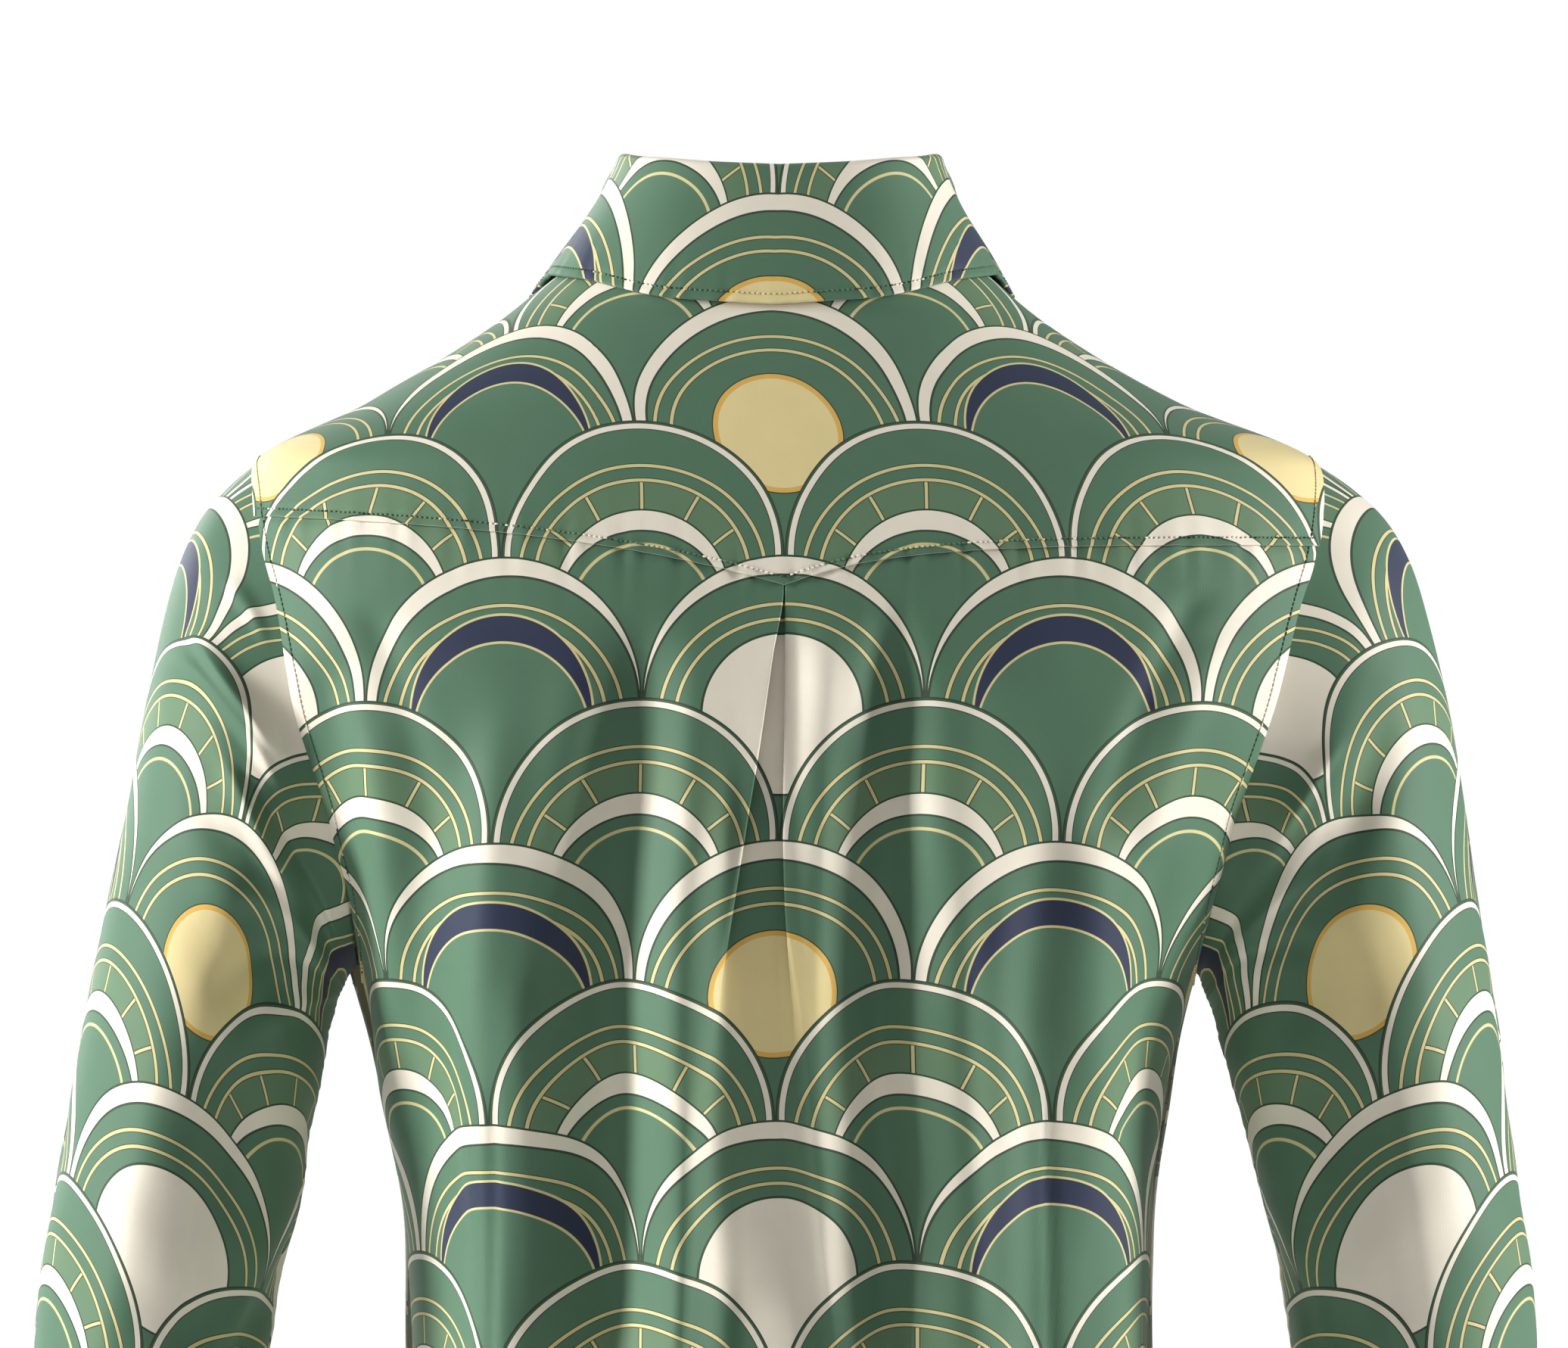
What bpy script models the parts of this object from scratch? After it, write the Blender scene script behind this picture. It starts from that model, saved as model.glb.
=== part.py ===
"""Golf shirt in its worn shape, hollow, with nobody in it.

The front faces -Y, up is +Z and the wearer's left is +X. The origin is the
point midway between the two places where the collar meets the shoulders.
Every piece of cloth is a thin wall: its outer face is worked out from the
tables below, and Solidify gives it its thickness inwards.
"""

import math
from collections import namedtuple

import bpy
from mathutils import Vector

MM = 0.001

# Cloth
CLOTH_THICK = 1.2
COLLAR_THICK = 1.8
# Between the outer edges of two pieces: it leaves 0.3 inside, where the walls lean in
SEAM_GAP = 0.6
SIDE_GAP = 0.45
SHOULDER_GAP = 0.9

# Lengths and heights, in millimetres, measured from the side neck point
HEM_Z = -640.0
HEM_DIP = 6.0
UNDERARM_Z = -255.0
ARMHOLE_MID_Z = -162.0
ARMHOLE_HALF_HEIGHT = 93.0
ARMHOLE_BACK_REACH = 58.0
ARMHOLE_FRONT_REACH = 56.0

# Round the armhole, in degrees from the shoulder tip: one step of the sleeve's rings
SLEEVE_STEP = 15
YOKE_STEPS = 3  # the yoke takes this many steps each side of the shoulder tip

# The back yoke seam dips to a point in the middle, where the pleat starts
YOKE_SEAM_DIP = 17.0
YOKE_SEAM_SPREAD = 45.0
YOKE_FRONT_ANGLE = 112.0
# Shares of the way round the yoke at which its edge turns up along the armhole and
# crosses the shoulder tip, and the neck angle that faces the first
YOKE_CORNER = 0.6
YOKE_RIDGE = 0.8
YOKE_CORNER_ANGLE = 58.0
YOKE_CROWDING = 1.25

# Half opening in the front for the placket, and how far down it reaches
PLACKET_SLIT = 12.0
PLACKET_LENGTH = 140.0
PLACKET_HALF_WIDTH = 14.0
PLACKET_CLEAR = 0.9
BUTTON_RADIUS = 5.6
BUTTON_THICK = 2.4
BUTTON_HEIGHTS = (-98.0, -150.0)
STAND_BUTTON_UP = 13.0

# How finely each piece is divided
BACK_SIDE_COLUMNS = 10
FRONT_SIDE_COLUMNS = 13
LOWER_ROWS = 14
SETTLE_ROUNDS = 5
YOKE_COLUMNS = 15
YOKE_RINGS = 6
SLEEVE_RINGS = 24
SLEEVE_CROWDING = 1.12
STAND_COLUMNS = 60
STAND_ROWS = 3
LEAF_COLUMNS = 44
LEAF_FALL_STEPS = 6
ROLL_STEPS = 4
PLACKET_ROWS = 9
PLACKET_COLUMNS = 4
BUTTON_SIDES = 16

# The torso, a rounded section at each height
Section = namedtuple("Section", "height half_width back_depth front_depth squareness")
TORSO = [Section(*row) for row in (
    (-650, 178.5, 113, 121, 2.3),
    (-570, 171, 110, 115, 2.3),
    (-490, 152, 94, 105, 2.3),
    (-410, 136, 84, 102, 2.3),
    (-350, 137.5, 86.5, 111, 2.35),
    (-300, 144.5, 93, 127, 2.35),
    (-255, 155, 98, 138, 2.4),
    (-232, 165, 99.5, 138, 2.4),
    (-203, 181, 100.5, 131, 2.4),
    (-150, 205, 99.5, 111, 2.4),
    (-110, 208, 96, 91, 2.35),
    (-69, 195, 86, 70, 2.3),
    (-45, 147, 76, 62, 2.25),
    (-18, 101.5, 63, 55, 2.2),
    (0, 79.5, 53.5, 49, 2.1),
    (12, 64, 48, 45, 2.0),
    (24, 57, 44, 40, 2.0),
)]

# The neck seam, by its angle from the centre back
NeckPoint = namedtuple("NeckPoint", "angle height")
NECK = [NeckPoint(*row) for row in (
    (0, 3),
    (30, 4),
    (60, 7.5),
    (90, 11.5),
    (112, -2),
    (130, -26),
    (150, -48),
    (168, -60),
    (180, -62),
)]

# The collar by its angle from the centre back: the stand's height, and the angle,
# height and clearance of the folded leaf's edge over the shoulders and chest. The
# last row is the leaf's front end, which slants back from the roll to its point.
CollarPoint = namedtuple("CollarPoint", "angle stand edge_angle edge_height edge_clear")
COLLAR = [CollarPoint(*row) for row in (
    (0, 32, 0, -9.4, 2.8),
    (35, 32, 34, -7.6, 2.8),
    (70, 30.5, 66, -2.8, 2.8),
    (95, 29, 88, -1.0, 3),
    (120, 28.5, 108, -19, 3.4),
    (140, 27.5, 124, -46, 4),
    (160, 26, 139, -76, 4.8),
    (176, 24, 152, -104, 6),
    (180, 24, 155, -111, 6),
)]
COLLAR_ROLL = 2.6
COLLAR_END = 176.0
COLLAR_RISE = 1.5  # the leaf stands up this far before it rolls over
STAND_CLEAR = 0.9
STAND_OVERLAP = 11.0
STAND_TUCK_FROM = 150.0  # here the right end begins to pass under the left one
STAND_TUCK_OVER = 24.0

# The sleeve's rings from the armhole to the wrist: the outermost and innermost point
# of each in X and Z, and its centre and half depth in Y
Ring = namedtuple("Ring", "number outer_x outer_z inner_x inner_z centre_y half_depth")
SLEEVE = [Ring(number, *row) for number, row in enumerate((
    (195, -69, 155, -255, 1, 57),
    (206, -77.5, 155.8, -256.5, 1, 58.5),
    (217, -89, 156.6, -258, 1, 59),
    (226, -107, 157.4, -260, 1, 59),
    (232, -129, 158.3, -263, 2, 58.5),
    (237, -154, 159.7, -267.5, 2, 57.5),
    (242, -181, 161.8, -274, 3, 56),
    (248, -213, 164.5, -284.5, 3, 54.5),
    (254.5, -251, 168, -300.5, 4, 53),
    (261, -291, 172.7, -324, 4, 51.5),
    (267.5, -332, 178.6, -354, 4, 50),
    (273, -372, 185.6, -388.5, 2, 48.5),
    (277.5, -412, 193, -425, -2, 47.5),
    (281.5, -452, 200, -464, -8, 46),
    (285, -492, 207, -503, -15, 44.5),
    (288, -532, 213, -542, -22, 42.5),
    (290.5, -572, 219, -581, -29, 40.5),
    (292.5, -610, 223.5, -618, -35, 39),
    (293.5, -636, 226, -643, -39, 38),
))]
BLEND_RINGS = 4  # the first rings turn from the armhole's shape into plain rings

# The centre back pleat: by height, how far its two fold edges stand from the middle,
# how far the cloth returns behind them, and how far the pleat has opened out
PleatRow = namedtuple("PleatRow", "height left_edge right_edge tuck opened")
PLEAT = [PleatRow(*row) for row in (
    (-640, 34, 30, 0.0, 1.0),
    (-400, 30, 19, 0.0, 1.0),
    (-330, 26, 13, 0.0, 1.0),
    (-275, 20, 7, 3.0, 0.75),
    (-225, 14, 3.2, 7.0, 0.35),
    (-180, 8.5, 1.4, 11.0, 0.1),
    (-140, 3.4, 0.6, 14.0, 0.0),
    (-90, 0.4, 0.4, 15.0, 0.0),
)]
PLEAT_ZONE = 44.0
PLEAT_CHANNEL = 7.0
PLEAT_LAYER_CLEAR = 0.3

# Soft folds on the back, right to left across it: where each runs (X at its top and
# its foot), from and to which height, its half width, and how far it stands out (+)
# or in (-)
Fold = namedtuple("Fold", "top_x foot_x top_z foot_z half_width height")
BACK_FOLDS = [Fold(*row) for row in (
    (-108, -118, -150, -620, 15, 4.0),
    (-92, -98, -185, -560, 13, -4.0),
    (-76, -80, -140, -600, 15, 4.5),
    (-54, -56, -190, -520, 13, -2.5),
    (-30, -34, -118, -620, 17, -8.0),
    (46, 42, -165, -620, 15, 4.0),
    (66, 78, -128, -620, 19, -8.5),
    (103, 108, -118, -620, 17, 6.0),
    (128, 132, -205, -600, 13, -3.0),
)]
FRONT_FOLDS = [Fold(*row) for row in (
    (112, 120, -285, -620, 16, 4.5),
    (88, 84, -300, -600, 15, -4.5),
    (56, 46, -290, -620, 16, 4.0),
    (-60, -50, -300, -620, 16, 4.5),
    (-86, -90, -290, -600, 15, -5.0),
    (-114, -122, -280, -620, 16, 4.0),
)]

# How far the worn shirt hangs over to the wearer's left at each height: in its middle,
# and out at the sleeves
Sway = namedtuple("Sway", "height middle sides")
SWAY = [Sway(*row) for row in (
    (-640, 1.5, 0),
    (-400, 1.6, -0.3),
    (-340, 2.0, -1.0),
    (-300, 3.2, -1.8),
    (-264, 4.0, -2.6),
    (-230, 2.8, -3.4),
    (-160, 0.5, -5.2),
    (-110, -0.2, -4.8),
    (-80, 0.0, -4.0),
    (-62, 1.6, -2.5),
    (-38, 4.8, 0),
    (-12, 4.6, 0),
    (10, 3.2, 0),
    (45, 1.4, 0),
)]
SWAY_FROM = 150.0
SWAY_TO = 255.0


def mix(a, b, t):
    return a + (b - a) * t


def ease(t):
    t = min(1.0, max(0.0, t))
    return t * t * (3 - 2 * t)


def row_at(table, at):
    """A table's row at any value of its first column, on a smooth curve."""
    last = len(table) - 1
    at = min(table[last][0], max(table[0][0], at))
    i = 0
    while i < last - 1 and at > table[i + 1][0]:
        i += 1
    span = table[i + 1][0] - table[i][0]
    t = (at - table[i][0]) / span
    h00, h10 = (1 + 2 * t) * (1 - t) ** 2, t * (1 - t) ** 2
    h01, h11 = t * t * (3 - 2 * t), t * t * (t - 1)
    found = [at]
    for c in range(1, len(table[0])):
        slopes = [slope_at(table, k, c) for k in (i, i + 1)]
        found.append(
            h00 * table[i][c]
            + h10 * span * slopes[0]
            + h01 * table[i + 1][c]
            + h11 * span * slopes[1]
        )
    return type(table[0])(*found)


def slope_at(table, k, c):
    """The slope of column c at row k, kept flat at a peak so that no curve overshoots."""
    if k in (0, len(table) - 1):
        near = 1 if k == 0 else k - 1
        return (table[near][c] - table[k][c]) / (table[near][0] - table[k][0])
    before = (table[k][c] - table[k - 1][c]) / (table[k][0] - table[k - 1][0])
    after = (table[k + 1][c] - table[k][c]) / (table[k + 1][0] - table[k][0])
    if before * after <= 0:
        return 0.0
    return 2 * before * after / (before + after)


def swayed(point):
    """A point of the even shirt, moved to where it hangs."""
    sway = row_at(SWAY, point.z)
    out = ease((abs(point.x) - SWAY_FROM) / (SWAY_TO - SWAY_FROM))
    return Vector((point.x + mix(sway.middle, sway.sides, out), point.y, point.z))


def torso(angle, z):
    """The torso's outer face at an angle from the centre back, in degrees, and a height."""
    section = row_at(TORSO, z)
    s, c = math.sin(math.radians(angle)), math.cos(math.radians(angle))
    depth = section.back_depth if c > 0 else section.front_depth
    power = section.squareness
    r = ((abs(s) / section.half_width) ** power + (abs(c) / depth) ** power) ** (-1 / power)
    return Vector((r * s, r * c, z))


def torso_out(angle, z):
    """The direction that the torso's outer face looks in."""
    round_it = torso(angle + 0.5, z) - torso(angle - 0.5, z)
    up = torso(angle, z + 1) - torso(angle, z - 1)
    return up.cross(round_it).normalized()


def angle_at_x(x, z, front=False):
    """The angle at which the torso's face has this X."""
    section = row_at(TORSO, z)
    depth = -section.front_depth if front else section.back_depth
    power = section.squareness
    y = depth * (1 - min(1, abs(x) / section.half_width) ** power) ** (1 / power)
    return math.degrees(math.atan2(x, y))


def armhole(turn):
    """A point of the left armhole, at an angle from the shoulder tip: + to the back."""
    s, c = math.sin(math.radians(turn)), math.cos(math.radians(turn))
    y = s * (ARMHOLE_BACK_REACH if s > 0 else ARMHOLE_FRONT_REACH)
    z = ARMHOLE_MID_Z + ARMHOLE_HALF_HEIGHT * c
    section = row_at(TORSO, z)
    depth = section.back_depth if s > 0 else section.front_depth
    power = section.squareness
    x = section.half_width * (1 - (abs(y) / depth) ** power) ** (1 / power)
    return Vector((x, y, z))


def armhole_bow(turn):
    """How far a point of the armhole lies from the straight line down its middle."""
    top, foot = armhole(0), armhole(180)
    level = (1 + math.cos(math.radians(turn))) / 2
    point = armhole(turn if turn <= 180 else turn - 360)
    return point - foot.lerp(top, level)


def armhole_angle(z, side):
    """The torso angle of the armhole's edge at a height: side is 1 at the back, -1 in front."""
    c = (z - ARMHOLE_MID_Z) / ARMHOLE_HALF_HEIGHT
    if c <= -1:
        return 90.0
    point = armhole(side * math.degrees(math.acos(min(1.0, c))))
    return math.degrees(math.atan2(point.x, point.y))


def neck_height(angle):
    angle = abs((angle + 180) % 360 - 180)
    return row_at(NECK, angle).height


def yoke_seam_height(x):
    """The back yoke seam's height: level with the armhole's step at its two ends."""
    end = armhole(YOKE_STEPS * SLEEVE_STEP)
    dip = math.exp(-abs(x) / YOKE_SEAM_SPREAD) - math.exp(-end.x / YOKE_SEAM_SPREAD)
    return end.z - YOKE_SEAM_DIP * dip


def fold_push(folds, x, z):
    """How far the folds of a table move the cloth out at a place on the torso."""
    push = 0.0
    for fold in folds:
        along = (fold.top_z - z) / (fold.top_z - fold.foot_z)
        across = (x - mix(fold.top_x, fold.foot_x, along)) / fold.half_width
        fade = ease(along * 4) * ease((1 - along) * 5)
        push += fold.height * fade * math.exp(-across * across)
    return push


def armhole_rows():
    """The shares of the way up from the underarm at which a panel's edge meets a step of
    the armhole, from the underarm to the yoke."""
    heights = [
        armhole(turn).z for turn in range(180, YOKE_STEPS * SLEEVE_STEP - 1, -SLEEVE_STEP)
    ]
    return [(z - heights[0]) / (heights[-1] - heights[0]) for z in heights]


def trimmed(rows, gap):
    """The rows with the last one drawn back along the cloth by this gap."""
    last, drawn = rows[-1], []
    for k, point in enumerate(last):
        along = (last[min(k + 1, len(last) - 1)] - last[max(k - 1, 0)]).normalized()
        inward = rows[-2][k] - point
        inward -= along * inward.dot(along)
        drawn.append(point + inward.normalized() * gap)
    return rows[:-1] + [drawn]


def pleat_side(edge, tuck, opened):
    """Half of the pleat's section, from the flat panel in to the middle, as (X, depth)."""
    lap = CLOTH_THICK + SEAM_GAP / 4
    back_face = 2 * lap
    under = back_face + SEAM_GAP
    shut = (
        (edge + 4.0, 0.0),
        (edge + 1.4, 0.15),
        (edge, lap),
        (edge + 1.4, back_face),
        (edge + tuck, back_face),
        (edge + tuck + 0.9, (back_face + under) / 2),
        (edge + tuck, under),
        (edge * 0.5 + 0.1, under + PLEAT_LAYER_CLEAR),
    )
    wide = (
        (edge + 9.0, 0.0),
        (edge + 6.0, PLEAT_CHANNEL * 0.06),
        (edge + 3.5, PLEAT_CHANNEL * 0.2),
        (edge + 1.0, PLEAT_CHANNEL * 0.42),
        (edge - 1.0, PLEAT_CHANNEL * 0.6),
        (edge * 0.84 - 2.5, PLEAT_CHANNEL * 0.76),
        (edge * 0.66 - 2.5, PLEAT_CHANNEL * 0.9),
        (edge * 0.33 - 0.5, PLEAT_CHANNEL),
    )
    return [(mix(a[0], b[0], opened), mix(a[1], b[1], opened)) for a, b in zip(shut, wide)]


def back_point(angle, z, depth=0.0):
    """A point of the back, its folds in, this far behind the outer face."""
    point = torso(angle, z)
    return point + torso_out(angle, z) * (fold_push(BACK_FOLDS, point.x, z) - depth)


def back_row(share, lower):
    """One row across the back panel, from its right edge to its left one.

    lower rows run from the hem to the underarm, and the others up to the yoke."""

    def height(x):
        if lower:
            hem = HEM_Z - HEM_DIP * math.cos(math.pi * x / 2 / TORSO[0][1])
            return mix(hem, UNDERARM_Z, share)
        return mix(UNDERARM_Z, yoke_seam_height(x), share)

    def settle(angle_of, x):
        """The angle and height of a column whose height depends on its own X."""
        for _ in range(SETTLE_ROUNDS):
            z = height(x)
            angle = angle_of(z)
            x = torso(angle, z).x
        return angle, z

    pleat = row_at(PLEAT, height(0))
    sides = []
    for side in (-1, 1):
        column = []
        for k in range(BACK_SIDE_COLUMNS):
            part = 1 - k / BACK_SIDE_COLUMNS

            def angle_of(z):
                inner = angle_at_x(side * PLEAT_ZONE, z)
                reach = 0.0 if lower else armhole_angle(z, 1) - 90.0
                return mix(inner, side * 90.0, part) + side * reach * part**3

            angle, z = settle(angle_of, side * TORSO[0].half_width)
            if k == 0 and not lower:
                z = mix(UNDERARM_Z, armhole(YOKE_STEPS * SLEEVE_STEP).z, share)
                angle = side * armhole_angle(z, 1)
            if k == 0:
                # The seam gap is taken off the panel's edge.
                angle -= side * math.degrees(SIDE_GAP / torso(angle, z).length)
            column.append(back_point(angle, z))
        edge = pleat.left_edge if side > 0 else pleat.right_edge
        for x, depth in [(PLEAT_ZONE, 0.0)] + pleat_side(edge, pleat.tuck, pleat.opened):
            z = height(x)
            column.append(back_point(angle_at_x(side * x, z), z, depth))
        sides.append(column)
    shut_depth = 2 * CLOTH_THICK + 2 * SEAM_GAP + PLEAT_LAYER_CLEAR
    middle = back_point(0.0, height(0), mix(shut_depth, PLEAT_CHANNEL, pleat.opened))
    return sides[0] + [middle] + sides[1][::-1]


def back_rows():
    rows = [back_row(k / LOWER_ROWS, True) for k in range(LOWER_ROWS)]
    rows += [back_row(share, False) for share in armhole_rows()]
    return trimmed(rows, SEAM_GAP)


def front_top(part):
    """The front panel's upper edge, from the slit to the armhole: an angle and a height."""
    neck_share = 0.5
    start = 180 - angle_from_front(PLACKET_SLIT, neck_height(180))
    if part < neck_share:
        angle = mix(start, YOKE_FRONT_ANGLE, part / neck_share)
        return angle, neck_height(angle)
    end = armhole(-YOKE_STEPS * SLEEVE_STEP)
    t = (part - neck_share) / (1 - neck_share)
    end_angle = math.degrees(math.atan2(end.x, end.y))
    return (
        mix(YOKE_FRONT_ANGLE, end_angle, t),
        mix(neck_height(YOKE_FRONT_ANGLE), end.z, t),
    )


def angle_from_front(x, z):
    return 180 - angle_at_x(x, z, front=True)


def front_point(angle, z, out=0.0):
    """A point of the front, its folds in, this far outside the outer face."""
    point = torso(angle, z)
    return point + torso_out(angle, z) * (fold_push(FRONT_FOLDS, point.x, z) + out)


def front_row(share, lower):
    """One row across the front panel, from its left edge in to the middle, and out again."""
    column = []
    for k in range(FRONT_SIDE_COLUMNS):
        part = 1 - k / (FRONT_SIDE_COLUMNS - 1)
        if lower:
            hem = HEM_Z - HEM_DIP * (1 - part)
            z = mix(hem, UNDERARM_Z, share)
            inner = 180 - angle_from_front(PLACKET_SLIT, z)
            angle = mix(inner, 90.0, part)
        else:
            top_angle, top_z = front_top(part)
            z = mix(UNDERARM_Z, top_z, share)
            inner = 180 - angle_from_front(PLACKET_SLIT, UNDERARM_Z)
            angle = mix(mix(inner, 90.0, part), top_angle, share)
            edge_z = mix(UNDERARM_Z, front_top(1)[1], share)
            straight = mix(90.0, front_top(1)[0], share)
            angle += (armhole_angle(edge_z, -1) - straight) * part**3
            slit_z = mix(UNDERARM_Z, front_top(0)[1], share)
            middle = 180 - angle_from_front(PLACKET_SLIT, slit_z)
            straight = mix(inner, front_top(0)[0], share)
            angle += (middle - straight) * (1 - part) ** 2
        if k == 0:
            angle += math.degrees(SIDE_GAP / torso(angle, z).length)
        column.append(front_point(angle, z))
    mirrored = []
    for k, point in enumerate(column):
        plain = torso(math.degrees(math.atan2(point.x, point.y)), point.z)
        gap = fold_push(FRONT_FOLDS, plain.x, point.z)
        other = fold_push(FRONT_FOLDS, -plain.x, point.z)
        angle = math.degrees(math.atan2(-point.x, point.y))
        mirrored.append(
            Vector((-point.x, point.y, point.z)) + torso_out(angle, point.z) * (other - gap)
        )
    return column + mirrored[::-1]


def front_rows():
    rows = [front_row(k / LOWER_ROWS, True) for k in range(LOWER_ROWS)]
    rows += [front_row(share, False) for share in armhole_rows()]
    return trimmed(rows, SHOULDER_GAP)


def yoke_spoke(part):
    """The two ends of a line across the yoke, as (angle, height): at the neck, and at the
    outer edge. part is 0 at the centre back and 1 at the front end."""
    back_end = YOKE_STEPS * SLEEVE_STEP
    if part < YOKE_CORNER:
        t = part / YOKE_CORNER
        neck_angle = YOKE_CORNER_ANGLE * t
        x = armhole(back_end).x * t**YOKE_CROWDING
        z = yoke_seam_height(x)
        outer = (angle_at_x(x, z), z)
    else:
        if part <= YOKE_RIDGE:
            t = (part - YOKE_CORNER) / (YOKE_RIDGE - YOKE_CORNER)
            neck_angle = mix(YOKE_CORNER_ANGLE, 90, t)
            turn = mix(back_end, 0, t)
        else:
            t = (part - YOKE_RIDGE) / (1 - YOKE_RIDGE)
            neck_angle = mix(90, YOKE_FRONT_ANGLE, t)
            turn = mix(0, -back_end, t)
        edge = armhole(turn)
        outer = (math.degrees(math.atan2(edge.x, edge.y)), edge.z)
    return (neck_angle, neck_height(neck_angle)), outer


def yoke_rows():
    rows = []
    for r in range(YOKE_RINGS + 1):
        t = r / YOKE_RINGS
        row = []
        for k in range(-YOKE_COLUMNS, YOKE_COLUMNS + 1):
            inner, outer = yoke_spoke(abs(k) / YOKE_COLUMNS)
            angle, z = mix(inner[0], outer[0], t), mix(inner[1], outer[1], t)
            side = -1 if k < 0 else 1
            row.append(torso(side * angle, z))
        rows.append(row)
    return rows


def sleeve_ring(at):
    """The points of a ring of the left sleeve, at a place between the table's rows."""
    ring = row_at(SLEEVE, at)
    outer, inner = Vector((ring.outer_x, 0, ring.outer_z)), Vector((ring.inner_x, 0, ring.inner_z))
    middle = (outer + inner) / 2
    half = (outer - inner) / 2
    own = ease(at / BLEND_RINGS)
    points = []
    for turn in range(0, 360, SLEEVE_STEP):
        c, s = math.cos(math.radians(turn)), math.sin(math.radians(turn))
        plain = Vector((0, ring.centre_y + ring.half_depth * s, 0))
        points.append(middle + half * c + armhole_bow(turn).lerp(plain, own))
    return points


def sleeve_rows(side):
    """The rings of one sleeve, from the armhole to the wrist: side is 1 on the left."""
    last = len(SLEEVE) - 1
    stations = [last * (k / SLEEVE_RINGS) ** SLEEVE_CROWDING for k in range(SLEEVE_RINGS + 1)]
    rows = [[Vector((side * p.x, p.y, p.z)) for p in sleeve_ring(at)] for at in stations]
    # The first ring starts a seam's gap out from the body.
    shift = Vector((side * SEAM_GAP * 0.6, 0, 0))
    return [[p + shift for p in rows[0]]] + rows[1:]


def collar_up(angle):
    """The direction in which the collar's stand rises, and the one that leads outwards."""
    s, c = math.sin(math.radians(angle)), math.cos(math.radians(angle))
    up = Vector((-0.24 * s, -0.22 + 0.06 * c - 0.14 * c * c, 0.95)).normalized()
    outward = Vector((s, c, 0))
    outward = (outward - up * outward.dot(up)).normalized()
    return up, outward


def neck_point(angle):
    return torso(angle, neck_height(angle))


def stand_rows():
    """The collar's stand, from its right end, under the left one, round to its left end."""
    end = 180 + STAND_OVERLAP
    rows = []
    for r in range(STAND_ROWS + 1):
        row = []
        for k in range(STAND_COLUMNS + 1):
            angle = mix(-end, end, k / STAND_COLUMNS)
            up, outward = collar_up(angle)
            height = row_at(COLLAR, abs((angle + 180) % 360 - 180)).stand
            tuck = ease((-angle - STAND_TUCK_FROM) / STAND_TUCK_OVER)
            tucked = (COLLAR_THICK + SEAM_GAP) * tuck
            base = neck_point(angle) + up * STAND_CLEAR - outward * tucked
            row.append(base + up * (height * r / STAND_ROWS))
        rows.append(row)
    return rows


def stand_top(angle):
    """The inner edge of the stand's top."""
    up, outward = collar_up(angle)
    rise = STAND_CLEAR + row_at(COLLAR, abs(angle)).stand + 2 * SEAM_GAP
    return neck_point(angle) + up * rise - outward * COLLAR_THICK


def leaf_section(angle):
    """The collar's leaf at one angle, from the stand's top over the roll to its edge."""
    lie = row_at(COLLAR, abs(angle))
    edge_angle = math.copysign(lie.edge_angle, angle)
    up, outward = collar_up(angle)
    start = stand_top(angle)
    points = [start]
    for k in range(ROLL_STEPS + 1):
        turn = math.pi * (1 - k / ROLL_STEPS)
        points.append(
            start
            + outward * (COLLAR_ROLL * (1 + math.cos(turn)))
            + up * (COLLAR_RISE + COLLAR_ROLL * math.sin(turn))
        )
    roll_end = points[-1]
    edge = torso(edge_angle, lie.edge_height)
    edge += torso_out(edge_angle, lie.edge_height) * lie.edge_clear
    reach = (edge - roll_end).length
    first = roll_end - up * reach * 0.28
    second = roll_end.lerp(edge, 0.62) + outward * reach * 0.03
    for k in range(1, LEAF_FALL_STEPS + 1):
        t = k / LEAF_FALL_STEPS
        points.append(
            roll_end * (1 - t) ** 3
            + first * (3 * t * (1 - t) ** 2)
            + second * (3 * t * t * (1 - t))
            + edge * t**3
        )
    return points


def leaf_rows():
    sections = [
        leaf_section(mix(-COLLAR_END, COLLAR_END, k / LEAF_COLUMNS))
        for k in range(LEAF_COLUMNS + 1)
    ]
    return [list(row) for row in zip(*sections)]


def placket_rows(out, half_width, foot):
    """A strip down the front's middle, this far outside the front's face."""
    rows = []
    for r in range(PLACKET_ROWS + 1):
        row = []
        for k in range(PLACKET_COLUMNS + 1):
            x = mix(half_width, -half_width, k / PLACKET_COLUMNS)
            z_top = neck_height(180 - abs(angle_from_front(abs(x), neck_height(180))))
            z = mix(foot, z_top, r / PLACKET_ROWS) - SEAM_GAP
            angle = 180 - angle_from_front(abs(x), z)
            row.append(front_point(math.copysign(angle, x), z, out))
        rows.append(row)
    return rows


def loft(name, rows, closed=False, thick=CLOTH_THICK, skip=None, flip=False):
    """A wall of cloth through rows of points, its outer face on them.

    Rows are listed upwards and run from the wearer's right to the left over the back,
    or else flip turns the faces round."""
    wide = len(rows[0])
    points = [tuple(swayed(p) * MM) for row in rows for p in row]
    faces = []
    for r in range(len(rows) - 1):
        for k in range(wide if closed else wide - 1):
            if skip and skip(r, k):
                continue
            n = (k + 1) % wide
            faces.append(
                (r * wide + k, r * wide + n, (r + 1) * wide + n, (r + 1) * wide + k)
            )
    mesh = bpy.data.meshes.new(name)
    mesh.from_pydata(points, [], faces)
    if flip:
        mesh.flip_normals()
    obj = bpy.data.objects.new(name, mesh)
    shirt.objects.link(obj)
    wall = obj.modifiers.new("cloth", "SOLIDIFY")
    wall.thickness = thick * MM
    wall.offset = -1
    mesh.shade_smooth()
    mesh.materials.append(cloth)
    return obj


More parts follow.
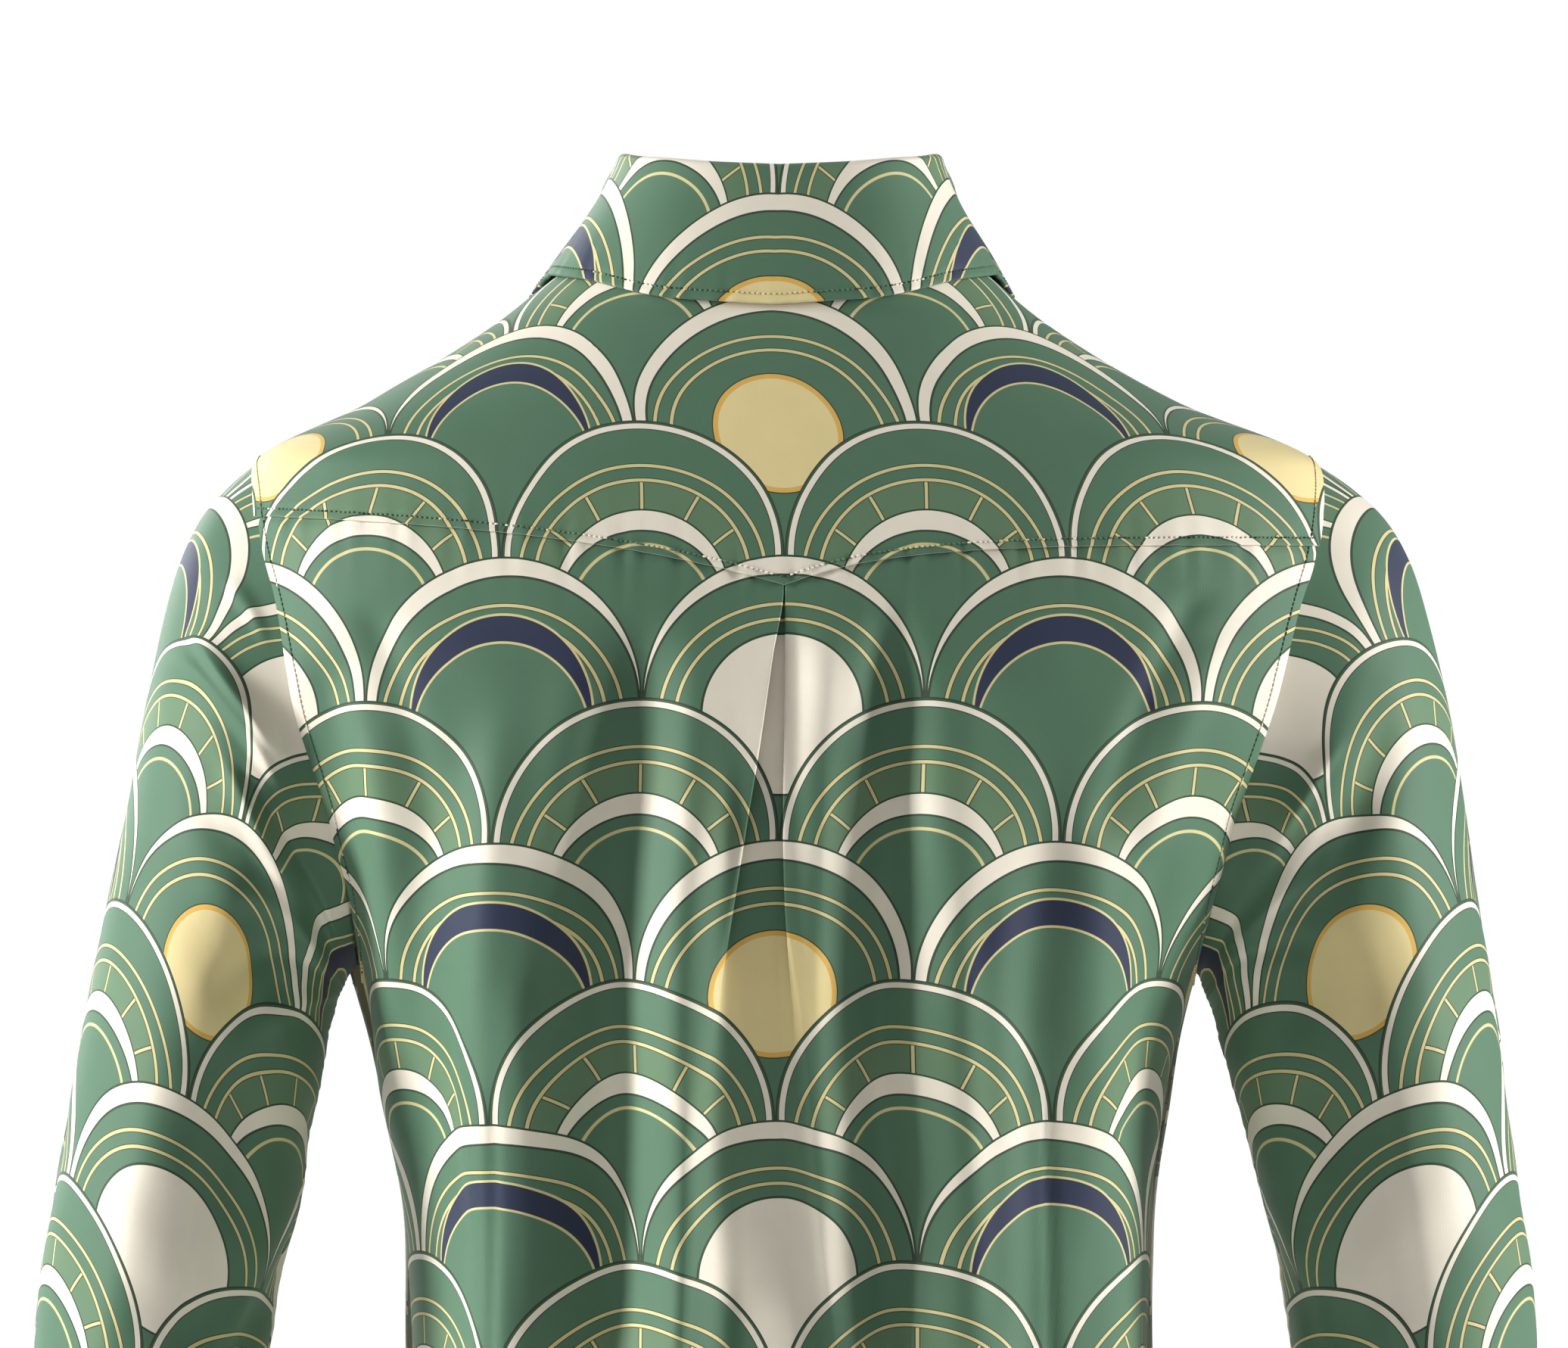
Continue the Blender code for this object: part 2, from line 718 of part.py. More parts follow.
def button(name, centre, outward):
    """A round button with a raised rim, lying flat on what is behind it."""
    profile = (
        (0.0, BUTTON_THICK * 0.62),
        (BUTTON_RADIUS * 0.6, BUTTON_THICK * 0.62),
        (BUTTON_RADIUS * 0.72, BUTTON_THICK),
        (BUTTON_RADIUS * 0.92, BUTTON_THICK),
        (BUTTON_RADIUS, BUTTON_THICK * 0.6),
        (BUTTON_RADIUS * 0.94, 0.0),
        (0.0, 0.0),
    )
    mesh = bpy.data.meshes.new(name)
    points = [(x * MM, 0, z * MM) for x, z in profile]
    mesh.from_pydata(points, [(i, i + 1) for i in range(len(points) - 1)], [])
    obj = bpy.data.objects.new(name, mesh)
    shirt.objects.link(obj)
    turn = obj.modifiers.new("turn", "SCREW")
    turn.steps = turn.render_steps = BUTTON_SIDES
    turn.use_merge_vertices = True
    turn.merge_threshold = 0.00005
    obj.location = swayed(centre) * MM
    obj.rotation_mode = "QUATERNION"
    obj.rotation_quaternion = Vector((0, 0, 1)).rotation_difference(outward)
    mesh.materials.append(horn)
    return obj


def material(name, colour, roughness):
    made = bpy.data.materials.new(name)
    made.use_nodes = True
    shader = made.node_tree.nodes["Principled BSDF"]
    shader.inputs["Base Color"].default_value = (*colour, 1)
    shader.inputs["Roughness"].default_value = roughness
    shader.inputs["Metallic"].default_value = 0.0
    return made


def clear_scene():
    for obj in list(bpy.data.objects):
        bpy.data.objects.remove(obj, do_unlink=True)


def build_body():
    loft("back_panel", back_rows(), flip=True)
    rows = front_rows()
    slit_foot = neck_height(180) - PLACKET_LENGTH
    middle = len(rows[0]) // 2 - 1

    def in_slit(r, k):
        return k == middle and rows[r][k].z > slit_foot

    loft("front_panel", rows, skip=in_slit, flip=True)
    loft("back_yoke", yoke_rows())


def build_sleeves():
    loft("sleeve_left", sleeve_rows(1), closed=True, flip=True)
    loft("sleeve_right", sleeve_rows(-1), closed=True)


def build_collar():
    loft("collar_stand", stand_rows(), thick=COLLAR_THICK, flip=True)
    loft("collar_leaf", leaf_rows(), thick=COLLAR_THICK)


def build_placket():
    foot = neck_height(180) - PLACKET_LENGTH
    over = CLOTH_THICK + PLACKET_CLEAR
    under = -CLOTH_THICK - PLACKET_CLEAR
    strip = placket_rows(over, PLACKET_HALF_WIDTH, foot - 5)
    loft("placket_over", strip, flip=True)
    strip = placket_rows(under, PLACKET_HALF_WIDTH - 1, foot + 2)
    loft("placket_under", strip, flip=True)
    for number, z in enumerate(BUTTON_HEIGHTS):
        out = torso_out(180, z)
        centre = front_point(180, z, over + SEAM_GAP / 2)
        button(f"button_{number + 2}", centre, out)
    up, outward = collar_up(180)
    centre = neck_point(180) + up * STAND_BUTTON_UP + outward * SEAM_GAP
    button("button_1", centre, outward)


clear_scene()
shirt = bpy.data.collections.new("golf_shirt")
bpy.context.scene.collection.children.link(shirt)
cloth = material("green_cloth", (0.09, 0.2, 0.12), 0.75)
horn = material("button_resin", (0.83, 0.79, 0.68), 0.35)
build_body()
build_sleeves()
build_collar()
build_placket()
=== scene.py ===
"""A printed golf shirt in its worn shape, hollow, on a plain pale stage.

Shapes are worked out in millimetres in the CAD model's frame and made in metres:
the front faces -Y, up is +Z, and the wearer's left is +X. Every piece of cloth is a
grid of points on the CAD piece's outer face, with its creases, seams and hems put in.
"""

import math

import bpy
import numpy as np
from bpy.props import FloatProperty, FloatVectorProperty, PointerProperty
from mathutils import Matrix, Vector
from mathutils.bvhtree import BVHTree


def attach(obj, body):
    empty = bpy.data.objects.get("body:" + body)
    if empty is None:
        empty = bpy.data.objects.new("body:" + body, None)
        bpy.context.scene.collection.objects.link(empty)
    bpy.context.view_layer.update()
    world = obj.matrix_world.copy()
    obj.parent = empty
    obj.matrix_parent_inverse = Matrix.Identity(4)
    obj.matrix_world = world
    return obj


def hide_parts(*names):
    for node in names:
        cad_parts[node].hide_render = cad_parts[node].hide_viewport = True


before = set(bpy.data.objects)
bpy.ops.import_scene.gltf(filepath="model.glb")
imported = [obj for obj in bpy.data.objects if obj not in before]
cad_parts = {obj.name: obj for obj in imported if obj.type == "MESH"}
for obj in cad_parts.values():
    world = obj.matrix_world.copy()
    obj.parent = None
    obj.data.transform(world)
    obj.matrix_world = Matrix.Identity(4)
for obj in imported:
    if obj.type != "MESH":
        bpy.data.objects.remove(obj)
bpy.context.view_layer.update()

bl_info = {
    "name": "Golf shirt",
    "version": (1, 0, 0),
    "blender": (4, 5, 0),
    "location": "View3D > Sidebar > Golf shirt",
    "description": "Builds a printed golf shirt in its worn shape on a studio stage",
    "category": "Object",
}

MM = 0.001

# ---------------------------------------------------------------- the shirt's own sizes

HEM_Z = -640.0
HEM_DIP = 6.0  # how much lower the hem hangs in the middle than at the sides
UNDERARM_Z = -255.0
ARMHOLE_MID_Z = -162.0
ARMHOLE_HALF_HEIGHT = 93.0
ARMHOLE_BACK_REACH = 58.0
ARMHOLE_FRONT_REACH = 56.0
YOKE_TURN = 45.0  # where the yoke ends on the front armhole, in degrees from the tip
YOKE_BACK_TURNS = (37.0, 47.0)  # the same behind, for the wearer's left and right
YOKE_SEAM_LOW = -113.2  # the back seam's height in the middle
YOKE_SEAM_SPREADS = (100.0, 36.0)  # how far out the seam's dip reaches, left and right
YOKE_FRONT_ANGLE = 112.0  # where the yoke's front edge meets the neck
YOKE_CORNER = 0.6  # the share of the yoke's columns that end on its back seam
YOKE_RIDGE = 0.8  # the share of them up to the shoulder's ridge
YOKE_CORNER_ANGLE = 58.0  # where the last column on the back seam starts at the neck
YOKE_CROWDING = 1.25  # above 1 the columns lie closer together in the middle
PLACKET_SLIT = 12.0  # half the width that is cut out of the front for the placket
PLACKET_LENGTH = 140.0
PLACKET_HALF_WIDTH = 14.0
PLACKET_CLEAR = 0.9
PLACKET_OVER_LONGER = 5.0  # how far the upper strip goes on below the slit
PLACKET_UNDER_SHORTER = 2.0  # how far above the slit's foot the lower strip ends
PLACKET_UNDER_NARROWER = 1.0
CAD_CLOTH = 1.2
PLACKET_OUT = CAD_CLOTH + PLACKET_CLEAR  # how far each strip lies from the front's face
COLLAR_THICK = 1.8
COLLAR_WALL = 0.0016  # how thick the collar's cloth looks, in metres
PLACKET_WALL = 0.001  # and the placket's
SEAM_GAP = 0.6
BUTTON_RADIUS = 5.6
BUTTON_THICK = 2.4
BUTTON_HEIGHTS = (-98.0, -150.0)
STAND_BUTTON_UP = 13.0
COLLAR_ROLL = 2.6  # the radius of the fold along the leaf's top
COLLAR_END = 176.0  # where the leaf's ends are, in degrees from the centre back
COLLAR_RISE = 1.5  # how far the leaf stands up before it rolls over
LEAF_DROP = 0.28  # the leaf's fall is a curve whose first handle lies so far down,
LEAF_SWING = 0.62  # whose second one lies this share of the way to the edge,
LEAF_BULGE = 0.03  # and so far further out, each as a share of the whole fall
STAND_CLEAR = 0.9  # how far above the neck seam the stand starts
STAND_OVERLAP = 11.0  # how far each end goes on past the centre front, in degrees
STAND_TUCK_FROM = 150.0  # here the right end begins to pass under the left one
STAND_TUCK_OVER = 24.0
PLEAT_ZONE = 44.0  # how far out from the middle the pleat's own columns reach
PLEAT_CHANNEL = 7.0  # how far in the pleat's floor lies where it has opened
PLEAT_FOLD = 1.0  # how thick the folded edge is
PLEAT_UNDER = 3.9  # how far in the pleat's floor lies where it is shut
PLEAT_ROLL = 1.9  # how far in the right edge lies
PLEAT_ROLL_RUN = 30.0  # how far below the seam it lies so deep
PLEAT_FLANK = 8.0  # how far out the right side rises from the opened floor, at the least
BLEND_RINGS = 4.0  # over so many rings a sleeve turns from the armhole's shape to its own
SLEEVE_SEAM_RADIUS = 48.0  # turns the angle from the underarm seam into a width
SLEEVE_CLEAR = 0.15  # how far a sleeve stands off the armhole's edge
SWAY_FROM = 150.0  # up to this X the cloth hangs as the middle does,
SWAY_TO = 255.0  # and from this one out as the sleeves do

# height, half width, back depth, front depth, squareness
TORSO = np.array((
    (-650, 178.5, 113, 121, 2.3),
    (-570, 171, 110, 115, 2.3),
    (-490, 152, 94, 105, 2.3),
    (-410, 136, 84, 102, 2.3),
    (-350, 137.5, 86.5, 111, 2.35),
    (-300, 144.5, 93, 127, 2.35),
    (-255, 155, 98, 138, 2.4),
    (-232, 165, 99.5, 138, 2.4),
    (-203, 181, 100.5, 131, 2.4),
    (-150, 205, 99.5, 111, 2.4),
    (-110, 208, 96, 91, 2.35),
    (-69, 195, 86, 70, 2.3),
    (-45, 147, 76, 62, 2.25),
    (-18, 101.5, 63, 55, 2.2),
    (0, 79.5, 53.5, 49, 2.1),
    (12, 64, 48, 45, 2.0),
    (24, 57, 44, 40, 2.0),
))

# angle from the centre back, height of the neck seam
NECK = np.array((
    (0, 3), (30, 4), (60, 7.5), (90, 11.5), (112, -2),
    (130, -26), (150, -48), (168, -60), (180, -62),
), float)

# angle, stand height, and the folded leaf's edge: its angle, height and clearance
COLLAR = np.array((
    (0, 32, 0, -12.6, 2.8),
    (35, 32, 34, -10.2, 2.8),
    (70, 30.5, 66, -2.8, 2.8),
    (95, 29, 88, -1.0, 3),
    (120, 28.5, 108, -19, 3.4),
    (140, 27.5, 124, -46, 4),
    (160, 26, 139, -76, 4.8),
    (176, 24, 152, -104, 6),
    (180, 24, 155, -111, 6),
))

# ring, outer X and Z, inner X and Z, centre Y, half depth
SLEEVE = np.array([(number, *row) for number, row in enumerate((
    (195, -69, 155, -255, 1, 57),
    (206, -77.5, 155.8, -256.5, 1, 58.5),
    (217, -89, 156.6, -258, 1, 59),
    (226, -107, 157.4, -260, 1, 59),
    (232, -129, 158.3, -263, 2, 58.5),
    (237, -154, 159.7, -267.5, 2, 57.5),
    (242, -181, 161.8, -274, 3, 56),
    (248, -213, 164.5, -284.5, 3, 54.5),
    (254.5, -251, 168, -300.5, 4, 53),
    (261, -291, 172.7, -324, 4, 51.5),
    (267.5, -332, 178.6, -354, 4, 50),
    (273, -372, 185.6, -388.5, 2, 48.5),
    (277.5, -412, 193, -425, -2, 47.5),
    (281.5, -452, 200, -464, -8, 46),
    (285, -492, 207, -503, -15, 44.5),
    (288, -532, 213, -542, -22, 42.5),
    (290.5, -572, 219, -581, -29, 40.5),
    (292.5, -610, 223.5, -618, -35, 39),
    (293.5, -636, 226, -643, -39, 38),
))], float)

# height, left edge, right edge, tuck, how far the pleat's left and right have opened
PLEAT = np.array((
    (-640, 34, 30, 0.0, 1.0, 1.0),
    (-400, 30, 19, 0.0, 1.0, 1.0),
    (-330, 26, 10, 0.0, 1.0, 1.0),
    (-275, 20, 4, 3.0, 0.75, 0.75),
    (-225, 14, 1.2, 7.0, 0.35, 0.15),
    (-180, 8.5, 0.8, 11.0, 0.1, 0.0),
    (-140, 3.9, 0.4, 14.0, 0.0, 0.0),
    (-113, 0.15, 0.1, 15.0, 0.0, 0.0),
    (-90, 0.1, 0.1, 15.0, 0.0, 0.0),
))

# height, how far the shirt hangs to the wearer's left in the middle and at the sleeves
SWAY = np.array((
    (-640, 1.5, 0),
    (-400, 1.6, -0.3),
    (-340, 2.0, -1.0),
    (-300, 3.2, -1.8),
    (-264, 4.0, -2.6),
    (-230, 2.8, -3.4),
    (-160, 0.5, -5.2),
    (-110, -0.2, -4.8),
    (-80, 0.0, -4.0),
    (-62, 1.6, -2.5),
    (-38, 4.8, 0),
    (-12, 4.6, 0),
    (10, 3.2, 0),
    (45, 1.4, 0),
))

# ------------------------------------------------------------------------- the creases
# Down the back and front: X at the top and at the foot, how far the middle bows out in
# X, the top's and the foot's height, half width, and how far it stands out (+) or in (-)

BACK_FOLDS = (
    (-108, -118, 0, -150, -620, 15, 4.0),
    (-92, -97, 0, -185, -560, 13, -1.8),
    (-70, -74, 0, -140, -600, 17, 4.8),
    (-54, -56, 0, -190, -520, 13, -2.5),
    (-30, -34, 0, -118, -620, 17, -8.0),
    (35, 31, 0, -165, -620, 14, 3.8),
    (62, 72, 0, -128, -620, 18, -8.0),
    (98, 101, 0, -118, -620, 17, 6.0),
    (120, 122, 0, -150, -600, 12, -3.0),
)
BACK_CREASES = (
    (50, 60, 6, -116, -430, 14, -6.2),
    (72, 100, 3, -130, -520, 11, 3.0),
    (31, 33, 2, -124, -600, 9, 2.8),
    (-38, -41, -2, -104, -600, 10, -8.2),
    (-15, -18, 0, -108, -520, 6, 1.5),
    (-62, -60, -3, -128, -480, 10, 1.5),
    (-98, -92, 4, -170, -520, 9, -1.6),
    (-112, -122, -3, -190, -520, 10, 2.2),
    (102, 104, 2, -150, -520, 10, 2.6),
    (132, 128, 2, -200, -480, 8, -2.4),
    (-134, -138, -2, -200, -470, 8, -2.0),
    (166, 152, -2, -135, -300, 10, -3.5),
    (146, 138, -3, -160, -330, 8, 1.5),
    (-150, -112, 4, -112, -215, 6, -1.6),
    (-158, -128, 5, -128, -240, 7, 1.5),
    (150, 122, -5, -118, -235, 7, -1.6),
    (160, 134, -4, -140, -262, 7, 1.3),
    (-72, -76, -2, -215, -400, 6, -1.4),
    (17, 20, 2, -170, -520, 6, -2.4),
    (90, 84, -3, -250, -400, 7, 1.4),
    (-128, -112, 5, -300, -400, 8, -1.8),
    (126, 108, -6, -290, -405, 8, -1.8),
    (12, 20, 0, -360, -560, 9, 1.4),
    (-6, -10, 1, -380, -610, 8, -1.5),
)
FRONT_FOLDS = (
    (112, 120, 0, -285, -620, 16, 4.5),
    (88, 84, 0, -300, -600, 15, -4.5),
    (56, 46, 0, -290, -620, 16, 4.0),
    (-60, -50, 0, -300, -620, 16, 4.5),
    (-86, -90, 0, -290, -600, 15, -5.0),
    (-114, -122, 0, -280, -620, 16, 4.0),
)
FRONT_CREASES = (
    (146, 88, 10, -170, -250, 8, -2.0),
    (-148, -92, -10, -165, -255, 8, -2.2),
    (140, 104, 6, -205, -285, 7, 1.6),
    (-142, -100, -6, -200, -290, 7, 1.8),
    (30, 22, 3, -330, -600, 10, -1.8),
    (-24, -30, -3, -300, -590, 10, 1.6),
    (4, 0, 2, -340, -610, 9, 1.5),
    (-128, -104, 5, -330, -420, 8, -2.0),
    (130, 110, -5, -320, -415, 8, -1.8),
)
# Across the left sleeve as the wearer has it, and across the right one: ring and angle
# from the outer line at one end and the other, half width, and how far out or in
LEFT_SLEEVE_CREASES = (
    (1.6, 160, 5.6, 50, 14, -3.5),
    (2.6, 118, 12.0, 112, 15, -5.0),
    (5.0, 250, 11.6, 262, 17, -3.0),
    (9.8, 195, 11.6, 120, 13, -3.0),
    (11.8, 205, 13.2, 130, 13, -3.0),
    (2.0, 215, 6.2, 300, 12, -3.0),
    (2.0, 168, 7.2, 62, 6, 1.8),
    (2.8, 172, 8.0, 84, 5, -1.8),
    (3.6, 176, 8.6, 102, 5, 1.6),
    (1.0, 150, 4.0, 70, 5, -1.5),
    (6.0, 128, 10.5, 126, 8, 1.8),
    (7.5, 76, 13.0, 70, 10, 1.5),
    (10.4, 150, 12.2, 86, 6, 1.6),
    (12.4, 165, 14.0, 95, 6, 1.4),
    (14.0, 80, 17.6, 110, 7, -1.4),
    (8.9, 102, 14.0, 108, 2.0, -1.0),
)
RIGHT_SLEEVE_CREASES = (
    (1.6, 160, 5.6, 50, 14, -3.0),
    (2.6, 112, 12.0, 108, 15, -5.5),
    (5.0, 250, 11.6, 262, 17, -3.0),
    (9.4, 198, 11.4, 122, 13, -3.0),
    (11.6, 205, 13.4, 126, 13, -3.0),
    (2.2, 215, 6.0, 296, 12, -3.0),
    (1.8, 165, 6.0, 80, 6, 1.6),
    (2.6, 172, 7.0, 96, 5, -1.4),
    (6.2, 92, 13.0, 96, 8, -2.2),
    (4.5, 66, 11.0, 64, 10, 1.6),
    (10.6, 152, 12.6, 88, 6, 1.5),
    (12.6, 160, 14.2, 98, 6, 1.4),
    (14.2, 84, 17.4, 108, 7, -1.2),
)
# Drag folds behind each upper sleeve: X and height at the top and at the foot, how far
# the middle bows out, the widths above and below the crest, and how far it stands out
LEFT_DRAGS = (
    (206, -110, 185, -134, 0, 4.5, 2.5, 1.5),
    (222, -126, 174, -181, 1.5, 6.5, 2.3, 3.4),
    (231, -136, 177, -191, -5.0, 6.5, 3.0, 3.8),
    (207, -174, 170, -232, -1.0, 4.5, 4.5, 3.6),
    (216, -182, 166, -240, -5.0, 5.0, 6.0, 2.4),
)
RIGHT_DRAGS = (
    (216, -145, 188, -250, 3.0, 9.0, 8.0, -3.0),
    (201, -166, 176, -209, 0, 4.5, 2.5, 1.4),
)
RING_SPACING = 28.0
CREASE_ROOM = 14.0  # where the rings lie closer than this, the creases are shallower
DEGREE_WIDTH = 0.9  # how wide a degree round the sleeve is taken to be

# Back darts: X at the top, X at the foot, top height, foot height
DARTS = ((97, 101, -286, -470), (-97, -99, -288, -470))
DART_WIDTH = 2.0
DART_DEPTH = 1.2
DART_SWELL = 0.35  # how far the cloth beside a dart stands out
DART_SWELL_WIDTH = 6.0
DART_FADE = 12  # at each end it fades over its length divided by this

# ---------------------------------------------------------------------- seams and hems

LAP = 7.0  # how far a piece goes on under the next one
LAP_SINK = 1.3
SLEEVE_LAP = 5.0
PLEAT_LAP = 5.0  # how much further the back goes on at the pleat
PLEAT_LAP_WIDTH = 22.0
STITCH_PITCH = 1.9
STITCH_LENGTH = 1.8
STITCH_RADIUS = 0.38
STITCH_SIDES = 6
# places along a stitch, with its width and its height over the cloth there
STITCH_RINGS = (
    (-0.5, 0.35, -0.25), (-0.32, 0.8, 0.3), (0.0, 1.0, 0.75), (0.32, 0.8, 0.3),
    (0.5, 0.35, -0.25),
)
YOKE_STITCH_IN = 2.8
COLLAR_STITCH_IN = 3.2
ARMHOLE_STITCH_IN = 5.0
HEM_STITCH_UP = 18.0
CUFF_STITCH_UP = 20.0
PLACKET_STITCH_IN = 2.0
PLACKET_BOX = 12.0  # the upper line of the box stitched at the placket's foot
PLACKET_BOX_GROOVE = 10.0  # the crease across the strip just below that line
SHOULDER_STITCH_BACK = 2.4  # degrees behind the shoulder seam
COLLAR_STITCH_COLUMNS = 3  # how many columns in from each end of the leaf
HOLE_APART = 1.15  # how far each of a button's holes lies from its middle, both ways
HOLE_RADII = (0.62, 0.5)  # of the dark disc painted in each hole as its shade, below and on top
THREAD_RADII = (0.42, 0.3)  # of the thread over a button: across, and up
THREAD_LIFT = 0.45
BUTTONHOLE_LENGTH = 14.0
BUTTONHOLE_WIDTH = 1.6
PUCKER_REACH = 9.0
PUCKER_HEIGHT = 0.3
SEAM_EDGE = 0.45  # how far the upper piece of a lapped seam stands proud
SEAM_EDGE_REACH = 4.0
STITCH_GROOVE = 0.25
SIDE_SEAM_WIDTH = 2.0
SIDE_SEAM_DEPTH = 0.6
HALF_PANEL = 150.0  # turns a column's share of half a panel into a width
HEM_STEP = 0.5  # how far a turned hem stands proud
SEAM_CALM = 30.0  # over this width beside a seam the cloth lies smooth,
HEM_CALM = 25.0  # and over this one beside a hem or the placket
FRONT_CALM_Z = -260.0  # above this the front lies smooth beside the placket
PLEAT_CALM = 0.7  # how much calmer the cloth is inside the pleat
YOKE_CLEAR = 0.12  # how far the yoke stands off the torso's face
YOKE_WAVINESS = 0.35

# --------------------------------------------------------------- the grids' own counts

# columns on each side of the pleat, or in half of the front, and rows below and above
# the underarm's height
BACK_COUNTS = (74, 100, 72)
FRONT_COUNTS = (96, 88, 80)
SLIT_COLUMNS = 4  # of the strip that the placket's slit takes out, on each side
FRONT_CORNER = 0.5  # the share of the front's columns that end on the neck seam
PLEAT_STEPS = (16, 5)  # columns from the flat back to the fold, then in each later part
YOKE_HALF_COLUMNS = 120
YOKE_ROWS = 46
SLEEVE_COLUMNS = 161
SLEEVE_ROWS = 186
BACK_COLUMN = 40  # the one down the middle of the sleeve's back
STAND_COLUMNS = 281
STAND_ROWS = 17
LEAF_COLUMNS = 301
LEAF_FALL_ROWS = 30
ROLL_STEPS = 13
PLACKET_COLUMNS = 33
PLACKET_ROWS = 111

# --------------------------------------------------------------- where the print starts

GRAIN_REACH = 120.0  # further out the print keeps the heights that it has here
NECK_SIDE = 64.0  # from here out the print follows the shoulder's slope
LEVEL_RING = 8.0  # the ring from which the print is measured up and down the sleeve
SLEEVE_PRINT_DROP = 30.0
LEAF_PRINT_RISE = 8.0

# ---------------------------------------------------------------------------- the weave

RIB_PAINTED_SHADE = 0.02  # how much paler a rib is than between: painted highlight on ribs, painted shade in grooves
CLOUD_SHADE = 0.10  # how much the cloth's shade drifts from place to place
WEAVE_STRENGTH = 0.18
WEAVE_DEPTH = 0.00012
WRONG_SIDE_FADED = 0.45
# how much darker the stitches' ends are painted, as painted shade in the dimples between stitches
THREAD_END_PAINTED_SHADE = 0.45

# ---------------------------------------------------------------------------- the stage

CAMERA_DISTANCE = 4.0
CAMERA_HEIGHT = -0.145
FILM_WIDTH = 36.0
FRAME_WIDTH = 0.574  # what the photograph takes in across, at the shirt
SKY_LIGHT = 0.09
SKY_SEEN = 1.0
FLOOR_SEEN = 0.8  # the floor's own glow, in the picture alone, so that it looks pale
FLOOR_REACH = 12.0
FLOOR_LEVEL = -1.25
LIGHT_AIM = (0, 0, -0.25)
# name, place, size, watts
LIGHTS = (
    ("left_bank", (2.8, 0.52, 0.5), (0.5, 1.6), 119.0),
    ("right_bank", (-2.9, 0.42, 0.4), (0.5, 1.6), 101.0),
    ("top_bank", (0.2, 1.6, 2.2), (1.6, 1.2), 4.0),
    ("front_bank", (1.8, -2.6, 0.8), (1.4, 1.6), 50.0),
)
CORNERS = ((-1, -1), (1, -1), (1, 1), (-1, 1))

# ------------------------------------------------------------------- sums on the cloth


def mix(a, b, t):
    return a + (b - a) * t


def ease(t):
    t = np.clip(t, 0.0, 1.0)
    return t * t * (3 - 2 * t)


def calm_slopes(values, span):
    """Slopes for a curve through a table's rows that never swings past them."""
    rise = np.diff(values, axis=0) / span
    slopes = np.zeros_like(values)
    slopes[0], slopes[-1] = rise[0], rise[-1]
    before, after = rise[:-1], rise[1:]
    same = before * after > 0
    total = np.where(same, before + after, 1.0)
    slopes[1:-1] = np.where(same, 2 * before * after / total, 0.0)
    return slopes


def curve(t, wide, start, start_slope, end, end_slope):
    """A curve from a start to an end, with its slope at each, at a share t of the way."""
    return (
        (1 + 2 * t) * (1 - t) ** 2 * start
        + t * (1 - t) ** 2 * wide * start_slope
        + t * t * (3 - 2 * t) * end
        + t * t * (t - 1) * wide * end_slope
    )


def read(table, at):
    """The other columns of a table at each value of its first, on a smooth curve."""
    keys, values = table[:, 0], table[:, 1:]
    at = np.clip(np.asarray(at, float), keys[0], keys[-1])
    span = np.diff(keys)
    slopes = calm_slopes(values, span[:, None])
    i = np.clip(np.searchsorted(keys, at, side="right") - 1, 0, len(keys) - 2)
    t = ((at - keys[i]) / span[i])[..., None]
    found = curve(t, span[i][..., None], values[i], slopes[i], values[i + 1], slopes[i + 1])
    return [found[..., column] for column in range(values.shape[1])]


def stack(x, y, z):
    return np.stack(np.broadcast_arrays(x, y, z), axis=-1).astype(float)


def unit(v):
    return v / np.linalg.norm(v, axis=-1, keepdims=True)


def angle_of(points):
    """The angle from the centre back at which points lie."""
    return np.degrees(np.arctan2(points[..., 0], points[..., 1]))


def off_back(angle):
    """How far an angle is from the centre back, either way round."""
    return np.abs((angle + 180) % 360 - 180)


def run_along(path):
    """The length along a path of points up to each of them."""
    return np.r_[0, np.cumsum(np.linalg.norm(np.diff(path, axis=0), axis=-1))]


def both_halves(first, second):
    """A grid from two halves that share the column in the middle."""
    return np.concatenate([first, second[:, :-1][:, ::-1]], axis=1)


def swayed(points):
    """Points of the even shirt, moved to where they hang."""
    middle, sides = read(SWAY, points[..., 2])
    out = ease((np.abs(points[..., 0]) - SWAY_FROM) / (SWAY_TO - SWAY_FROM))
    moved = points.copy()
    moved[..., 0] += mix(middle, sides, out)
    return moved


def torso(angle, z):
    """The torso's outer face, by the angle from the centre back and the height."""
    angle, z = np.broadcast_arrays(np.asarray(angle, float), np.asarray(z, float))
    width, back, front, power = read(TORSO, z)
    s, c = np.sin(np.radians(angle)), np.cos(np.radians(angle))
    depth = np.where(c > 0, back, front)
    r = ((np.abs(s) / width) ** power + (np.abs(c) / depth) ** power) ** (-1 / power)
    return stack(r * s, r * c, z)


def torso_out(angle, z):
    """The way straight out from the torso's face."""
    round_it = torso(angle + 0.5, z) - torso(angle - 0.5, z)
    up = torso(angle, z + 1) - torso(angle, z - 1)
    return unit(np.cross(up, round_it))


def depth_at(x, z, front=False):
    """The Y of the torso's face at an X and a height."""
    width, back, deep, power = read(TORSO, z)
    depth = -deep if front else back
    inside = 1 - np.minimum(1, np.abs(x) / width) ** power
    return depth * inside ** (1 / power)


def angle_at_x(x, z, front=False):
    """The angle from the centre back at which the torso's face has this X."""
    return np.degrees(np.arctan2(x, depth_at(x, z, front)))


